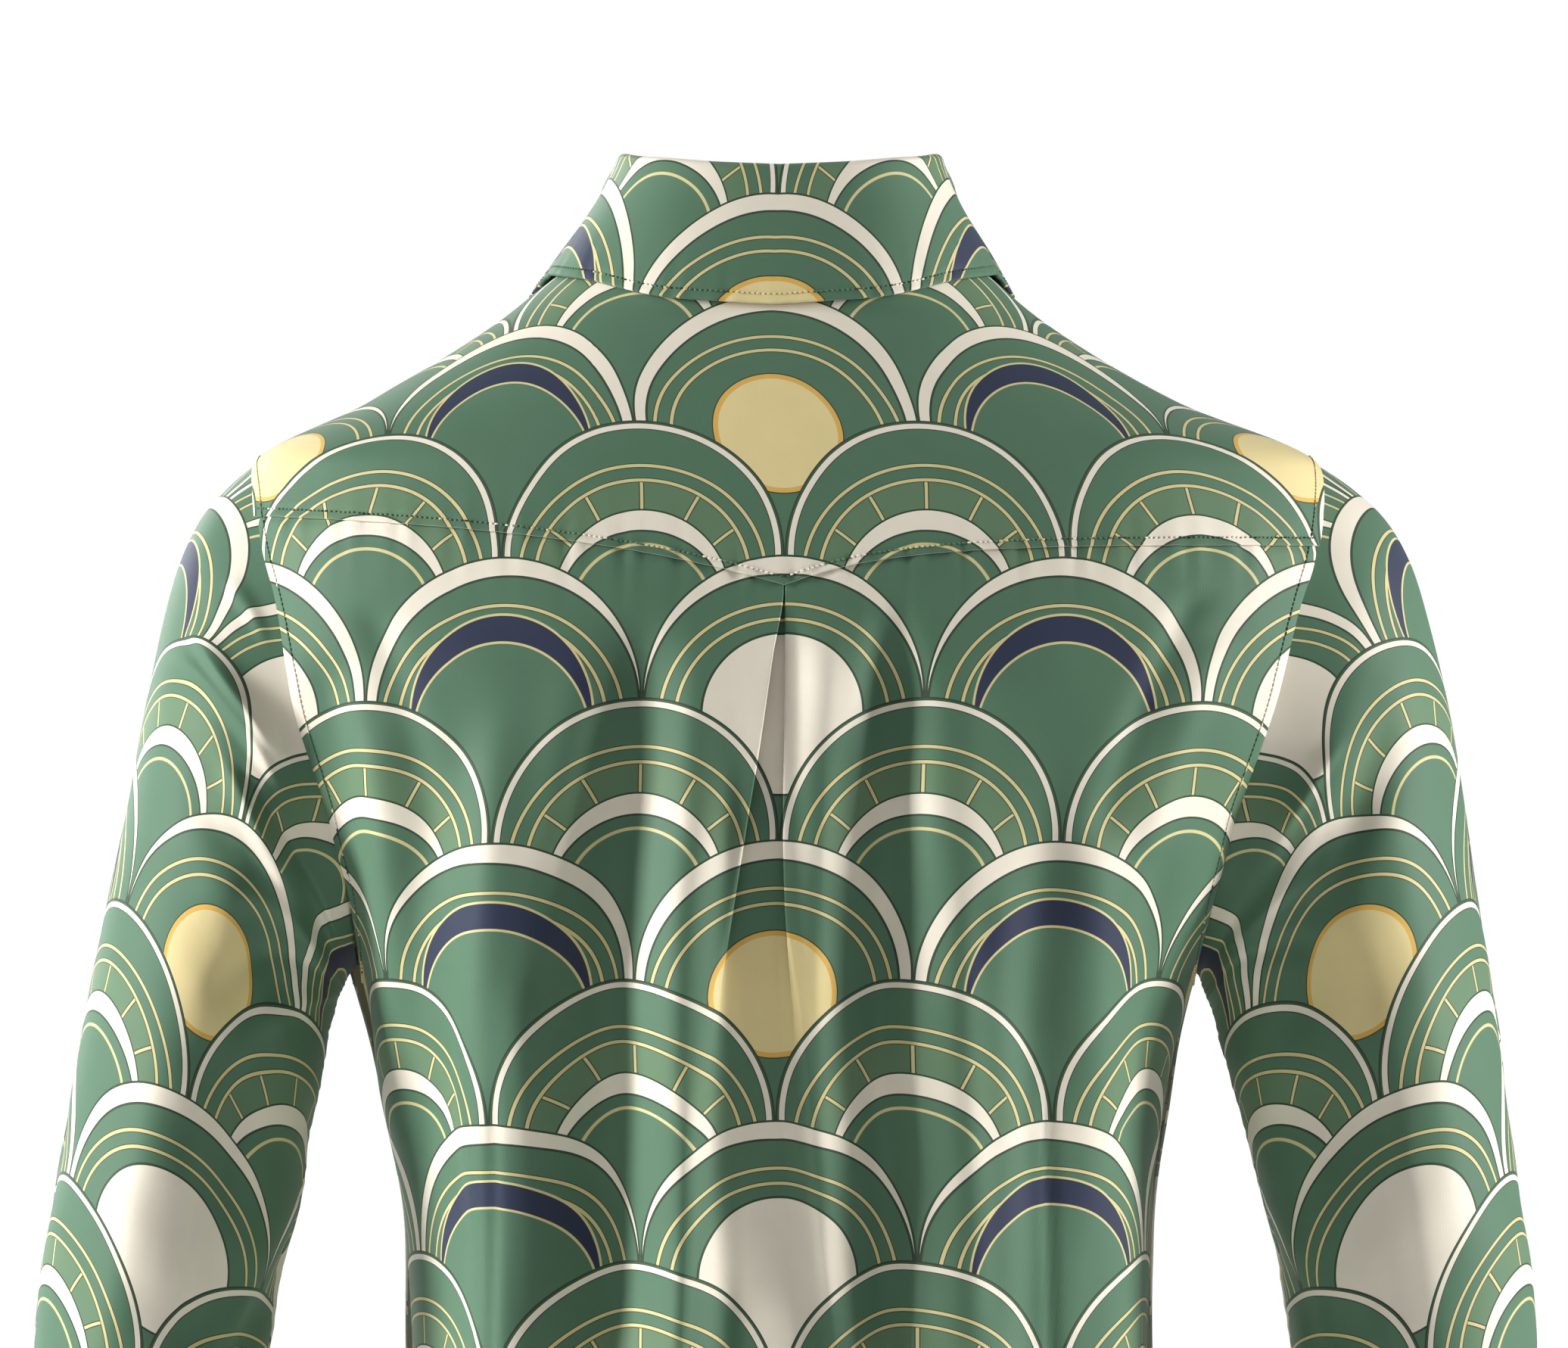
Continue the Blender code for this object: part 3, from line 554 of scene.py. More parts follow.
def armhole(turn):
    """The left armhole, by the angle from the shoulder tip: + to the back."""
    s, c = np.sin(np.radians(turn)), np.cos(np.radians(turn))
    y = s * np.where(s > 0, ARMHOLE_BACK_REACH, ARMHOLE_FRONT_REACH)
    z = ARMHOLE_MID_Z + ARMHOLE_HALF_HEIGHT * c
    width, back, front, power = read(TORSO, z)
    depth = np.where(s > 0, back, front)
    x = width * (1 - (np.abs(y) / depth) ** power) ** (1 / power)
    return stack(x, y, z)


def armhole_bow(turn):
    """How far the armhole bows out from the straight line between its two ends."""
    top, foot = armhole(np.array(0.0)), armhole(np.array(180.0))
    level = (1 + np.cos(np.radians(turn))) / 2
    point = armhole(np.where(turn <= 180, turn, turn - 360))
    return point - mix(foot, top, level[..., None])


def armhole_angle(z, side):
    """The angle of the armhole's edge at a height: behind for 1, in front for -1."""
    c = np.clip((z - ARMHOLE_MID_Z) / ARMHOLE_HALF_HEIGHT, -1, 1)
    return angle_of(armhole(side * np.degrees(np.arccos(c))))


YOKE_FRONT_END = armhole(np.array(-YOKE_TURN))


def neck_height(angle):
    return read(NECK, off_back(angle))[0]


def slit_foot():
    """The height at which the front's slit for the placket ends."""
    return neck_height(180) - PLACKET_LENGTH


def hem_height(x):
    return HEM_Z - HEM_DIP * np.cos(math.pi * x / 2 / TORSO[0, 1])


def yoke_end(left):
    """Where the yoke's back edge meets the left armhole, or the right one mirrored."""
    return armhole(np.where(left, *YOKE_BACK_TURNS))


def yoke_seam_height(x):
    """The back seam's height: it dips in the middle and climbs to both armholes."""
    left = np.asarray(x) > 0
    end, spread = yoke_end(left), np.where(left, *YOKE_SEAM_SPREADS)
    climb = (1 - np.exp(-np.abs(x) / spread)) / (1 - np.exp(-end[..., 0] / spread))
    return mix(YOKE_SEAM_LOW, end[..., 2], climb)


def crest(height, along, across, start=4, end=3):
    """A fold's height at a share along it; it fades over 1/start and 1/end of its length."""
    return height * ease(along * start) * ease((1 - along) * end) * np.exp(-across * across)


def along_line(x, y, long_x, long_y):
    """Where a place lies on a line from 0, 0: its share along it, and how far off it is."""
    length = math.hypot(long_x, long_y)
    return (x * long_x + y * long_y) / length**2, (x * long_y - y * long_x) / length


def fold_push(folds, x, z, start=4):
    """What the lengthwise folds add at a place on the body."""
    push = np.zeros(np.broadcast(x, z).shape)
    for top_x, foot_x, bow, top_z, foot_z, half_width, height in folds:
        along = (top_z - z) / (top_z - foot_z)
        centre = mix(top_x, foot_x, along) + bow * np.sin(np.pi * np.clip(along, 0, 1))
        push += crest(height, along, (x - centre) / half_width, start, 5)
    return push


def sleeve_push(folds, at, turn):
    """What the creases add at a ring and an angle of a sleeve."""
    push = np.zeros(np.broadcast(at, turn).shape)
    for ring_a, angle_a, ring_b, angle_b, half_width, height in folds:
        along, off = along_line(
            (at - ring_a) * RING_SPACING, (turn - angle_a) * DEGREE_WIDTH,
            (ring_b - ring_a) * RING_SPACING, (angle_b - angle_a) * DEGREE_WIDTH)
        push += crest(height, along, off / half_width)
    return push


def drag_push(drags, x, z):
    """What the drag folds add to a sleeve's back; each falls off faster on one side."""
    push = np.zeros(x.shape)
    for top_x, top_z, foot_x, foot_z, bow, above, below, height in drags:
        along, off = along_line(x - top_x, z - top_z, foot_x - top_x, foot_z - top_z)
        off += bow * np.sin(np.pi * np.clip(along, 0, 1))
        push += crest(height, along, off / np.where(off > 0, above, below))
    return push


def puckers(along, inset, phase=0.0):
    """The small uneven ripples that sewing leaves beside a seam."""
    wave = (
        np.sin(along * 0.62 + phase)
        + 0.7 * np.sin(along * 0.93 + 1.3 + phase)
        + 0.5 * np.sin(along * 0.27 + 2.1 + phase)
    )
    return PUCKER_HEIGHT * wave * np.exp(-np.abs(inset) / PUCKER_REACH)


def groove(distance, width=1.0, depth=STITCH_GROOVE):
    """What a line of stitches or a seam takes away at a distance from it."""
    return -depth * np.exp(-((distance / width) ** 2))


def waviness(x, z, phase):
    """Slow unevenness, so that no stretch of cloth is perfectly smooth."""
    return (
        0.45 * np.sin(x * 0.061 + z * 0.019 + phase)
        + 0.3 * np.sin(x * 0.023 - z * 0.047 + 1.7 * phase)
        + 0.22 * np.sin(x * 0.093 + z * 0.071 + 2.3 * phase)
        + 0.14 * np.sin(x * 0.151 - z * 0.113 + 0.7 * phase)
    )


# ------------------------------------------------------------ where the print lies

def round_from_back(angle, z, steps=48):
    """The length of the horizontal section from the centre back to an angle."""
    share = np.linspace(0, 1, steps + 1)
    points = torso(np.asarray(angle)[..., None] * share, np.asarray(z)[..., None] + 0 * share)
    return np.linalg.norm(np.diff(points, axis=-2), axis=-1).sum(-1)


def grain_up(x, z, front=False, steps=56):
    """The length over the cloth from the underarm's height to z, straight up at this X."""
    share = np.linspace(0, 1, steps + 1)
    x, z = np.broadcast_arrays(np.minimum(np.abs(x), GRAIN_REACH), z)
    level = UNDERARM_Z + (z[..., None] - UNDERARM_Z) * share
    depth = depth_at(x[..., None] + 0 * share, level, front)
    run = np.hypot(np.diff(level, axis=-1), np.diff(depth, axis=-1)).sum(-1)
    return np.where(z < UNDERARM_Z, -run, run)


RIDGE_Z = np.linspace(24.0, -110.0, 269)
RIDGE_X = read(TORSO, RIDGE_Z)[0]  # the shoulder's top line, where the torso ends sideways
RIDGE_RUN = RIDGE_X[0] + np.r_[0, np.cumsum(np.where(
    RIDGE_X[1:] > NECK_SIDE, np.hypot(np.diff(RIDGE_X), np.diff(RIDGE_Z)), np.diff(RIDGE_X)))]


def run_between(x, low, high, front=False, steps=40):
    """The length over the cloth from one height to another, at a fixed X."""
    share = np.linspace(0, 1, steps + 1)
    x, low, high = np.broadcast_arrays(x, low, high)
    level = mix(low[..., None], high[..., None], share)
    depth = depth_at(x[..., None] + 0 * share, level, front)
    return np.hypot(np.diff(level, axis=-1), np.diff(depth, axis=-1)).sum(-1)


def yoke_places(points):
    """Where the print lies on the yoke: straight on from the back, over the shoulder."""
    x, y, z = np.abs(points[..., 0]), points[..., 1], points[..., 2]
    seam = yoke_seam_height(points[..., 0])
    top = np.interp(x, RIDGE_X, RIDGE_Z)
    ridge = np.where(x < RIDGE_X[0], x, np.interp(x, RIDGE_X, RIDGE_RUN))
    front = y < 0
    up = np.where(front, 1.0, np.clip((z - seam) / (top - seam), 0, 1))
    across = mix(round_from_back(angle_at_x(x, seam), seam), ridge, up)
    along = grain_up(x, seam) + run_between(x, seam, np.where(front, top, z))
    along += np.where(front, run_between(x, top, z, True), 0.0)
    return np.stack([across, along], axis=-1)


# ----------------------------------------------------------------- the grids of cloth


def crowded(count, ends=(0.0, 0.75)):
    """Shares from 0 to 1 that lie closer together towards the start and the end."""
    s = np.linspace(0, 1, count)
    towards_end = mix(s, 1 - (1 - s) ** 2, ends[1])
    return mix(towards_end, towards_end**2, ends[0])


def smooth_through(points, first_steps, steps):
    """Points on a curve through the first axis of an array that never swings past them."""
    slopes = calm_slopes(points, 1.0)
    rows = []
    for k in range(len(points) - 1):
        count = steps if k else first_steps
        for t in np.arange(count) / count:
            rows.append(curve(t, 1.0, points[k], slopes[k], points[k + 1], slopes[k + 1]))
    rows.append(points[-1])
    return np.array(rows)


def pleat_section(edge, tuck, opened, floor, roll, flank):
    """Half of the pleat across, from the flat back in to the middle: X and depth."""
    zero = np.zeros_like(edge)
    shut = (
        (edge + 9.0 + 2.5 * roll, zero), (edge + 2.2 + roll, zero + roll * 0.9),
        (edge + 0.5, zero + roll + 0.04),
        (edge, zero + roll + PLEAT_FOLD / 2), (edge + 0.5, zero + roll + PLEAT_FOLD),
        (edge + tuck, zero + PLEAT_FOLD * 1.3 + roll * 0.3),
        (edge + tuck + 0.9, zero + PLEAT_UNDER * 0.7), (edge + tuck, zero + PLEAT_UNDER * 0.9),
        (edge * 0.5 + 0.1, floor), (zero, floor),
    )
    edge = np.maximum(edge, flank)
    wide = (
        (edge + 14.0, zero), (edge + 9.0, zero), (edge + 6.0, floor * 0.06),
        (edge + 3.5, floor * 0.2), (edge + 1.0, floor * 0.42), (edge * 0.92, floor * 0.6),
        (edge * 0.75, floor * 0.76), (edge * 0.55, floor * 0.9), (edge * 0.3, floor), (zero, floor),
    )
    points = [(zero + PLEAT_ZONE, zero)]
    points += [(mix(a[0], b[0], opened), mix(a[1], b[1], opened)) for a, b in zip(shut, wide)]
    return smooth_through(np.array(points), *PLEAT_STEPS)


def split_rows(low_count, high_count, high_end):
    """Shares up each half of a panel, and which rows lie below the underarm's height."""
    low = crowded(low_count, (0.6, 0.0))[:-1]
    high = crowded(high_count, (0.0, high_end))
    lower = np.r_[np.ones(len(low), bool), np.zeros(len(high), bool)]
    return np.r_[low, high][:, None], lower[:, None]


def back_half(side, share, lower):
    """Half of the back from its side seam or armhole in to the middle of the pleat.

    For each point: its angle and height, how far in it lies, how far round the print is
    there, and how far round the cloth is, with the pleat let out."""
    columns = BACK_COUNTS[0]

    def height(x):
        top = np.where(lower, UNDERARM_Z, yoke_seam_height(x))
        return mix(np.where(lower, hem_height(x), UNDERARM_Z), top, share)

    part = 1 - np.arange(columns)[None, :] / columns
    x = side * TORSO[0, 1] + 0 * part * share
    for _ in range(6):  # the height follows from X, and X from the height
        z = height(x)
        inner = angle_at_x(side * PLEAT_ZONE, z)
        reach = np.where(lower, 0.0, armhole_angle(z, 1) - 90.0)
        angle = mix(inner, side * 90.0, part) + side * reach * part**3
        x = torso(angle, z)[..., 0]
    middle_z = height(np.zeros((1, 1)))[:, 0]
    left, right, tuck, left_open, right_open = read(PLEAT, middle_z)
    floor = mix(PLEAT_UNDER, PLEAT_CHANNEL, left_open)
    if side > 0:
        section = pleat_section(left, tuck, left_open, floor, 0.0, 0.0)
    else:
        roll = PLEAT_ROLL * ease((YOKE_SEAM_LOW - middle_z) / PLEAT_ROLL_RUN)
        section = pleat_section(right, tuck, right_open, floor, roll, PLEAT_FLANK)
    pleat_x, depth = section[:, 0].T, section[:, 1].T
    pleat_z = height(side * pleat_x)
    pleat_angle = angle_at_x(side * pleat_x, pleat_z)
    all_angle = np.concatenate([angle, pleat_angle], axis=1)
    all_z = np.concatenate([z, pleat_z], axis=1)
    all_depth = np.concatenate([np.zeros_like(angle), depth], axis=1)
    flat = round_from_back(np.abs(all_angle), all_z)
    run = np.hypot(np.diff(section[:, 0], axis=0), np.diff(section[:, 1], axis=0)).T
    let_out = flat.copy()
    let_out[:, columns + 1 :] = flat[:, columns : columns + 1] - np.cumsum(run, axis=1)
    return all_angle, all_z, all_depth, flat, let_out


def back_grid():
    """The back panel, hem first: its points, where the print lies on it, and its cut.

    The print runs straight across the pleat, as on cloth that was printed once sewn; the
    last value is the way out along the top edge."""
    share, lower = split_rows(*BACK_COUNTS[1:], 0.8)
    halves = zip(back_half(-1, share, lower), back_half(1, share, lower))
    angle, z, depth, flat, let_out = (both_halves(*pair) for pair in halves)
    base = torso(angle, z)
    x = base[..., 0]
    push = fold_push(BACK_FOLDS, x, z) + fold_push(BACK_CREASES, x, z, 10)
    below = yoke_seam_height(x) - z
    calm = ease(below / SEAM_CALM) * (1 - PLEAT_CALM * ease(depth / 2))
    push += waviness(x, z, 0.4) * calm * ease((z - HEM_Z) / HEM_CALM)
    push += puckers(x, below) * ease((np.abs(x) - 6) / 8)  # none where the pleat starts
    push += groove(np.maximum(below, 0), width=1.8, depth=0.5)
    from_side = (1 - np.abs(np.linspace(-1, 1, z.shape[1]))) * HALF_PANEL
    push += groove(from_side, SIDE_SEAM_WIDTH, SIDE_SEAM_DEPTH)
    push += hem_step(z - hem_height(x), HEM_STITCH_UP)
    for top_x, foot_x, top_z, foot_z in DARTS:
        along = (top_z - z) / (top_z - foot_z)
        off = x - mix(top_x, foot_x, along)
        held = ease(along * DART_FADE) * ease((1 - along) * DART_FADE)
        swell = DART_SWELL * np.exp(-((off / DART_SWELL_WIDTH) ** 2))
        push += held * (groove(off, DART_WIDTH, DART_DEPTH) + swell)
    outward = torso_out(angle, z)
    points = base + outward * (push - depth)[..., None]
    grain = grain_up(np.abs(x), z)
    printed, cloth = (np.stack([across, grain], axis=-1) for across in (flat, let_out))
    return points, printed, cloth, outward[-1]


def hem_step(up, stitched_at):
    """A turned hem stands a little proud, with a groove where it is stitched."""
    above = up - stitched_at
    return HEM_STEP * (1 - ease(above / 1.6)) + groove(above, width=1.2, depth=0.3)


def lapped(points, uv, sink, reach=LAP, steps=3, outward=None):
    """The grid with its last row gone on under the next piece."""
    along = unit(points[-1] - points[-3])
    reach = np.broadcast_to(reach, len(along))[:, None]
    inward = -(grid_normals(points)[-1] if outward is None else outward)
    extra, extra_uv = [], []
    grain = unit(uv[-1] - uv[-3])
    for k in range(1, steps + 1):
        share = k / steps
        extra.append(points[-1] + along * reach * share + inward * sink * ease(share * 2))
        extra_uv.append(uv[-1] + grain * reach * share)
    return (np.concatenate([points, np.array(extra)]), np.concatenate([uv, np.array(extra_uv)]))


def grid_normals(points):
    """The outward normals of a grid whose rows go up and run right to left at the back."""
    down = np.gradient(points, axis=0)
    across = np.gradient(points, axis=1)
    return unit(np.cross(down, across))


def front_top(part):
    """The front's top edge, from the slit round the neck and out along the yoke."""
    start = angle_at_x(PLACKET_SLIT, neck_height(180), True)
    near = mix(start, YOKE_FRONT_ANGLE, part / FRONT_CORNER)
    t = (part - FRONT_CORNER) / (1 - FRONT_CORNER)
    far = mix(YOKE_FRONT_ANGLE, angle_of(YOKE_FRONT_END), t)
    angle = np.where(part < FRONT_CORNER, near, far)
    far_z = mix(neck_height(YOKE_FRONT_ANGLE), YOKE_FRONT_END[2], t)
    return angle, np.where(part < FRONT_CORNER, neck_height(angle), far_z)


def front_half(side, angle, z, part):
    """Half of the front's points, with its folds, hem and side seam put in."""
    base = torso(side * angle, z)
    x = base[..., 0]
    push = fold_push(FRONT_FOLDS, x, z) + fold_push(FRONT_CREASES, x, z)
    calm = ease((z - HEM_Z) / HEM_CALM)
    beside_placket = ease((np.abs(x) - PLACKET_SLIT) / HEM_CALM)
    calm = np.where(z > FRONT_CALM_Z, beside_placket * calm, calm)
    push += waviness(x, z, 1.9) * calm
    push += hem_step(z - (HEM_Z - HEM_DIP * (1 - part)), HEM_STITCH_UP)
    push += groove((1 - part) * HALF_PANEL, SIDE_SEAM_WIDTH, SIDE_SEAM_DEPTH)
    return base + torso_out(side * angle, z) * push[..., None]


def front_grid():
    """The front panel, hem first: its points and where the print lies on it."""
    columns = FRONT_COUNTS[0]
    share, lower = split_rows(*FRONT_COUNTS[1:], 0.5)
    part = 1 - np.arange(columns) / (columns - 1)
    part = np.sort(np.r_[part, FRONT_CORNER])[::-1][None, :]
    top_angle, top_z = front_top(part)
    edge_angle, edge_top = (v[0, 0] for v in front_top(np.array([[1.0]])))
    slit_angle, slit_top = (v[0, 0] for v in front_top(np.array([[0.0]])))

    low_z = mix(HEM_Z - HEM_DIP * (1 - part), UNDERARM_Z, share)
    low_angle = mix(angle_at_x(PLACKET_SLIT, low_z, True), 90.0, part)
    high_z = mix(UNDERARM_Z, top_z, share)
    inner = angle_at_x(PLACKET_SLIT, UNDERARM_Z, True)
    high_angle = mix(mix(inner, 90.0, part), top_angle, share)
    edge_z = mix(UNDERARM_Z, edge_top, share)
    straight = mix(90.0, edge_angle, share)
    high_angle = high_angle + (armhole_angle(edge_z, -1) - straight) * part**3
    slit_z = mix(UNDERARM_Z, slit_top, share)
    middle = angle_at_x(PLACKET_SLIT, slit_z, True)
    high_angle = high_angle + (middle - mix(inner, slit_angle, share)) * (1 - part) ** 2
    z = np.where(lower, low_z, high_z)
    angle = np.where(lower, low_angle, high_angle)

    # the strip in the middle, which is slit above the placket's foot
    middle_z = np.repeat(z[:, -1:], SLIT_COLUMNS, axis=1)
    inside = PLACKET_SLIT * (1 - np.arange(1, SLIT_COLUMNS + 1) / SLIT_COLUMNS)[None, :]
    middle_angle = angle_at_x(inside, middle_z, True)
    angle = np.concatenate([angle, middle_angle], axis=1)
    z = np.concatenate([z, middle_z], axis=1)
    part = np.concatenate([part, 0 * inside], axis=1)

    flat = round_from_back(180.0, z) - round_from_back(angle, z)
    grain = grain_up(torso(angle, z)[..., 0], z, True)
    points = both_halves(front_half(1, angle, z, part), front_half(-1, angle, z, part))
    uv = np.stack([flat, grain], axis=-1)
    return points, both_halves(uv, uv)


def yoke_spoke(part, side):
    """The two ends of lines from the neck to the yoke's edge: angles and heights."""
    t_back = part / YOKE_CORNER
    x = yoke_end(side > 0)[..., 0] * np.minimum(t_back, 1) ** YOKE_CROWDING
    seam_z = yoke_seam_height(side * x)
    back_angle = angle_at_x(x, seam_z)
    t_tip = (part - YOKE_CORNER) / (YOKE_RIDGE - YOKE_CORNER)
    t_front = (part - YOKE_RIDGE) / (1 - YOKE_RIDGE)
    behind = np.where(side > 0, *YOKE_BACK_TURNS)
    turn = np.where(part <= YOKE_RIDGE, mix(behind, 0, t_tip), mix(0, -YOKE_TURN, t_front))
    edge = armhole(np.clip(turn, -YOKE_TURN, behind))
    in_back = part < YOKE_CORNER
    neck_angle = np.where(
        in_back, YOKE_CORNER_ANGLE * t_back,
        np.where(part <= YOKE_RIDGE, mix(YOKE_CORNER_ANGLE, 90, t_tip),
                 mix(90, YOKE_FRONT_ANGLE, t_front)))
    outer_angle = np.where(in_back, back_angle, angle_of(edge))
    outer_z = np.where(in_back, seam_z, edge[..., 2])
    return neck_angle, neck_height(neck_angle), outer_angle, outer_z


def yoke_grid():
    """The yoke's points from the neck out to its edge, and where the print lies."""
    column = np.arange(-YOKE_HALF_COLUMNS, YOKE_HALF_COLUMNS + 1)[None, :]
    part = np.abs(column / YOKE_HALF_COLUMNS)
    side = np.where(column < 0, -1, 1)
    t = crowded(YOKE_ROWS, (0.0, 0.8))[:, None]
    in_angle, in_z, out_angle, out_z = yoke_spoke(part, side)
    angle, z = mix(in_angle, out_angle, t), mix(in_z, out_z, t)
    base = torso(side * angle, z)
    x = base[..., 0]
    above = z - yoke_seam_height(x)
    behind = part < YOKE_CORNER
    push = np.where(behind, puckers(x, above) + groove(above - YOKE_STITCH_IN), 0.0)
    push += waviness(x, z, 2.7) * YOKE_WAVINESS * ease(t * 3) * ease((1 - t) * 4)
    push += YOKE_CLEAR + SEAM_EDGE * np.exp(-above / SEAM_EDGE_REACH) * behind
    points = base + torso_out(side * angle, z) * push[..., None]
    return points, yoke_places(base)


def sleeve_ring(at, turn):
    """Points of the left sleeve, by ring and by angle from its outer line."""
    outer_x, outer_z, inner_x, inner_z, centre_y, half_depth = read(SLEEVE, at)
    zero = np.zeros_like(outer_x)
    outer, inner = stack(outer_x, zero, outer_z), stack(inner_x, zero, inner_z)
    c, s = np.cos(np.radians(turn)), np.sin(np.radians(turn))
    plain = stack(0 * c, centre_y + half_depth * s, 0 * c)
    own = ease(at / BLEND_RINGS)[..., None]
    return (outer + inner) / 2 + (outer - inner) / 2 * c[..., None] + mix(
        armhole_bow(turn), plain, own)


def sleeve_grid(side, creases, drags):
    """One sleeve's points from the armhole to the wrist, and where the print lies."""
    turn = np.linspace(180, -180, SLEEVE_COLUMNS)[None, :] % 360
    turn[0, -1] = 180.0
    last = len(SLEEVE) - 1
    at = last * np.linspace(0, 1, SLEEVE_ROWS)[:, None] ** 1.1
    at, turn = np.broadcast_arrays(at, turn)
    plain = sleeve_ring(at, turn)
    centre = plain[:, :-1].mean(axis=1, keepdims=True)
    down = run_along(centre[:, 0])[:, None] + 0 * turn
    along = np.linalg.norm(np.diff(plain, axis=0), axis=-1)
    spread = np.r_[along[:1], along] / np.gradient(at, axis=0)
    push = sleeve_push(creases, at, turn) * ease(at / 1.2)
    push *= np.clip(spread / CREASE_ROOM, 0, 1)
    behind = ease(np.sin(np.radians(turn)) * 2) * ease(at)
    push += drag_push(drags, plain[..., 0], plain[..., 2]) * behind
    up = down[-1, 0] - down
    calm = ease(down / SEAM_CALM) * ease(up / HEM_CALM)
    push += waviness(down * 1.3, turn * DEGREE_WIDTH, 3.1 * side) * calm
    push += hem_step(up, CUFF_STITCH_UP)
    seam = np.radians(np.abs(turn - 180)) * SLEEVE_SEAM_RADIUS
    push += groove(seam, width=1.6, depth=0.9) + puckers(down, seam, 0.9) * 0.6
    moved = plain + unit(plain - centre) * push[..., None]
    moved[..., 0] += SLEEVE_CLEAR
    arc = np.linalg.norm(np.diff(plain, axis=1), axis=-1)
    flat = np.concatenate([np.zeros((len(plain), 1)), np.cumsum(arc, axis=1)], axis=1)
    flat = flat[:, BACK_COLUMN : BACK_COLUMN + 1] - flat
    grain = np.concatenate([np.zeros((1, turn.shape[1])), np.cumsum(along, axis=0)])
    level = np.argmin(np.abs(at[:, 0] - LEVEL_RING))
    uv = np.stack([flat, grain[level : level + 1] - grain - SLEEVE_PRINT_DROP], axis=-1)
    points = moved[::-1]
    points[..., 0] *= side
    points[:, -1] = points[:, 0]  # a column of its own, so that the print can end there
    return points, uv[::-1]


def collar_up(angle):
    """The ways up and out at the neck: up leans to the front, and inwards at the sides."""
    s, c = np.sin(np.radians(angle)), np.cos(np.radians(angle))
    up = unit(stack(-0.24 * s, -0.22 + 0.06 * c - 0.14 * c * c, 0.95 + 0 * s))
    outward = stack(s, c, 0 * s)
    outward = unit(outward - up * (outward * up).sum(-1, keepdims=True))
    return up, outward


def neck_point(angle):
    return torso(angle, neck_height(angle))


def stand_grid():
    """The collar's stand from the neck seam up, with its right end tucked under."""
    end = 180 + STAND_OVERLAP
    angle = np.linspace(-end, end, STAND_COLUMNS)[None, :]
    share = np.linspace(0, 1, STAND_ROWS)[:, None]
    up, outward = collar_up(angle)
    height = read(COLLAR, off_back(angle))[0]
    tuck = ease((-angle - STAND_TUCK_FROM) / STAND_TUCK_OVER)
    tucked = (COLLAR_THICK + SEAM_GAP) * tuck
    base = neck_point(angle) + up * STAND_CLEAR - outward * tucked[..., None]
    points = base + up * (height * share)[..., None]
    flat = run_along(points[0])
    flat = (flat - flat[-1] / 2)[None, :] + 0 * share
    return points, np.stack([np.abs(flat), height * share], axis=-1)


def leaf_grid():
    """The collar's leaf from the stand's top over the roll and down to its edge."""
    angle = np.linspace(-COLLAR_END, COLLAR_END, LEAF_COLUMNS)
    stand, edge_angle, edge_height, clear = read(COLLAR, np.abs(angle))
    edge_angle = np.copysign(edge_angle, angle)
    up, outward = collar_up(angle)
    rise = (STAND_CLEAR + stand + 2 * SEAM_GAP)[:, None]
    start = neck_point(angle) + up * rise - outward * COLLAR_THICK
    rows = [start]
    for turn in np.linspace(math.pi, 0, ROLL_STEPS):
        rows.append(
            start + outward * (COLLAR_ROLL * (1 + math.cos(turn)))
            + up * (COLLAR_RISE + COLLAR_ROLL * math.sin(turn)))
    roll_end = rows[-1]
    edge = torso(edge_angle, edge_height)
    edge = edge + torso_out(edge_angle, edge_height) * clear[:, None]
    # it falls down the stand, then swings out over the shoulders to its edge
    reach = np.linalg.norm(edge - roll_end, axis=-1, keepdims=True)
    first = roll_end - up * reach * LEAF_DROP
    second = mix(roll_end, edge, LEAF_SWING) + outward * reach * LEAF_BULGE
    for t in crowded(LEAF_FALL_ROWS, (0.0, 0.8))[1:]:
        rows.append(
            roll_end * (1 - t) ** 3 + first * (3 * t * (1 - t) ** 2)
            + second * (3 * t * t * (1 - t)) + edge * t**3)
    points = np.array(rows)
    flat = run_along(points[-1])
    flat = np.abs(flat - flat[-1] / 2)[None, :] + np.zeros((len(points), 1))
    fall = np.cumsum(np.linalg.norm(np.diff(points, axis=0), axis=-1), axis=0)
    fall = np.concatenate([np.zeros((1, len(angle))), fall])
    from_edge = fall[-1:] - fall
    push = groove(from_edge - COLLAR_STITCH_IN, depth=0.3)
    push += puckers(flat, from_edge, 0.5) * 0.5
    push += 0.5 * waviness(flat, from_edge, 5.2) * ease(fall / 20) * ease(from_edge / 8)
    points = points - grid_normals(points) * push[..., None]
    return points, np.stack([flat, from_edge + LEAF_PRINT_RISE], axis=-1)


def placket_grid(out, half_width, foot):
    """A strip of the placket, a way out from the front's face, from its foot upwards."""
    x = np.linspace(1, -1, PLACKET_COLUMNS)[None, :] * half_width
    neck_z = neck_height(angle_at_x(np.abs(x), neck_height(180), True))
    share = np.linspace(0, 1, PLACKET_ROWS)[:, None]
    z = mix(foot, neck_z, share) - SEAM_GAP
    angle = np.copysign(angle_at_x(np.abs(x), z, True), x)
    from_side = half_width - np.abs(x)
    push = puckers(z, from_side, 1.1) * 0.5
    push += groove(from_side - PLACKET_STITCH_IN, width=0.8, depth=0.3)
    push += groove(z - foot - PLACKET_BOX_GROOVE, width=0.8, depth=0.2)
    out = out + push * ease(share * 30)
    points = torso(angle, z) + torso_out(angle, z) * out[..., None]
    from_middle = np.abs(x) + 0 * z
    return points, np.stack([from_middle, grain_up(from_middle, z, True)], axis=-1)


# -------------------------------------------------------------------- making the pieces


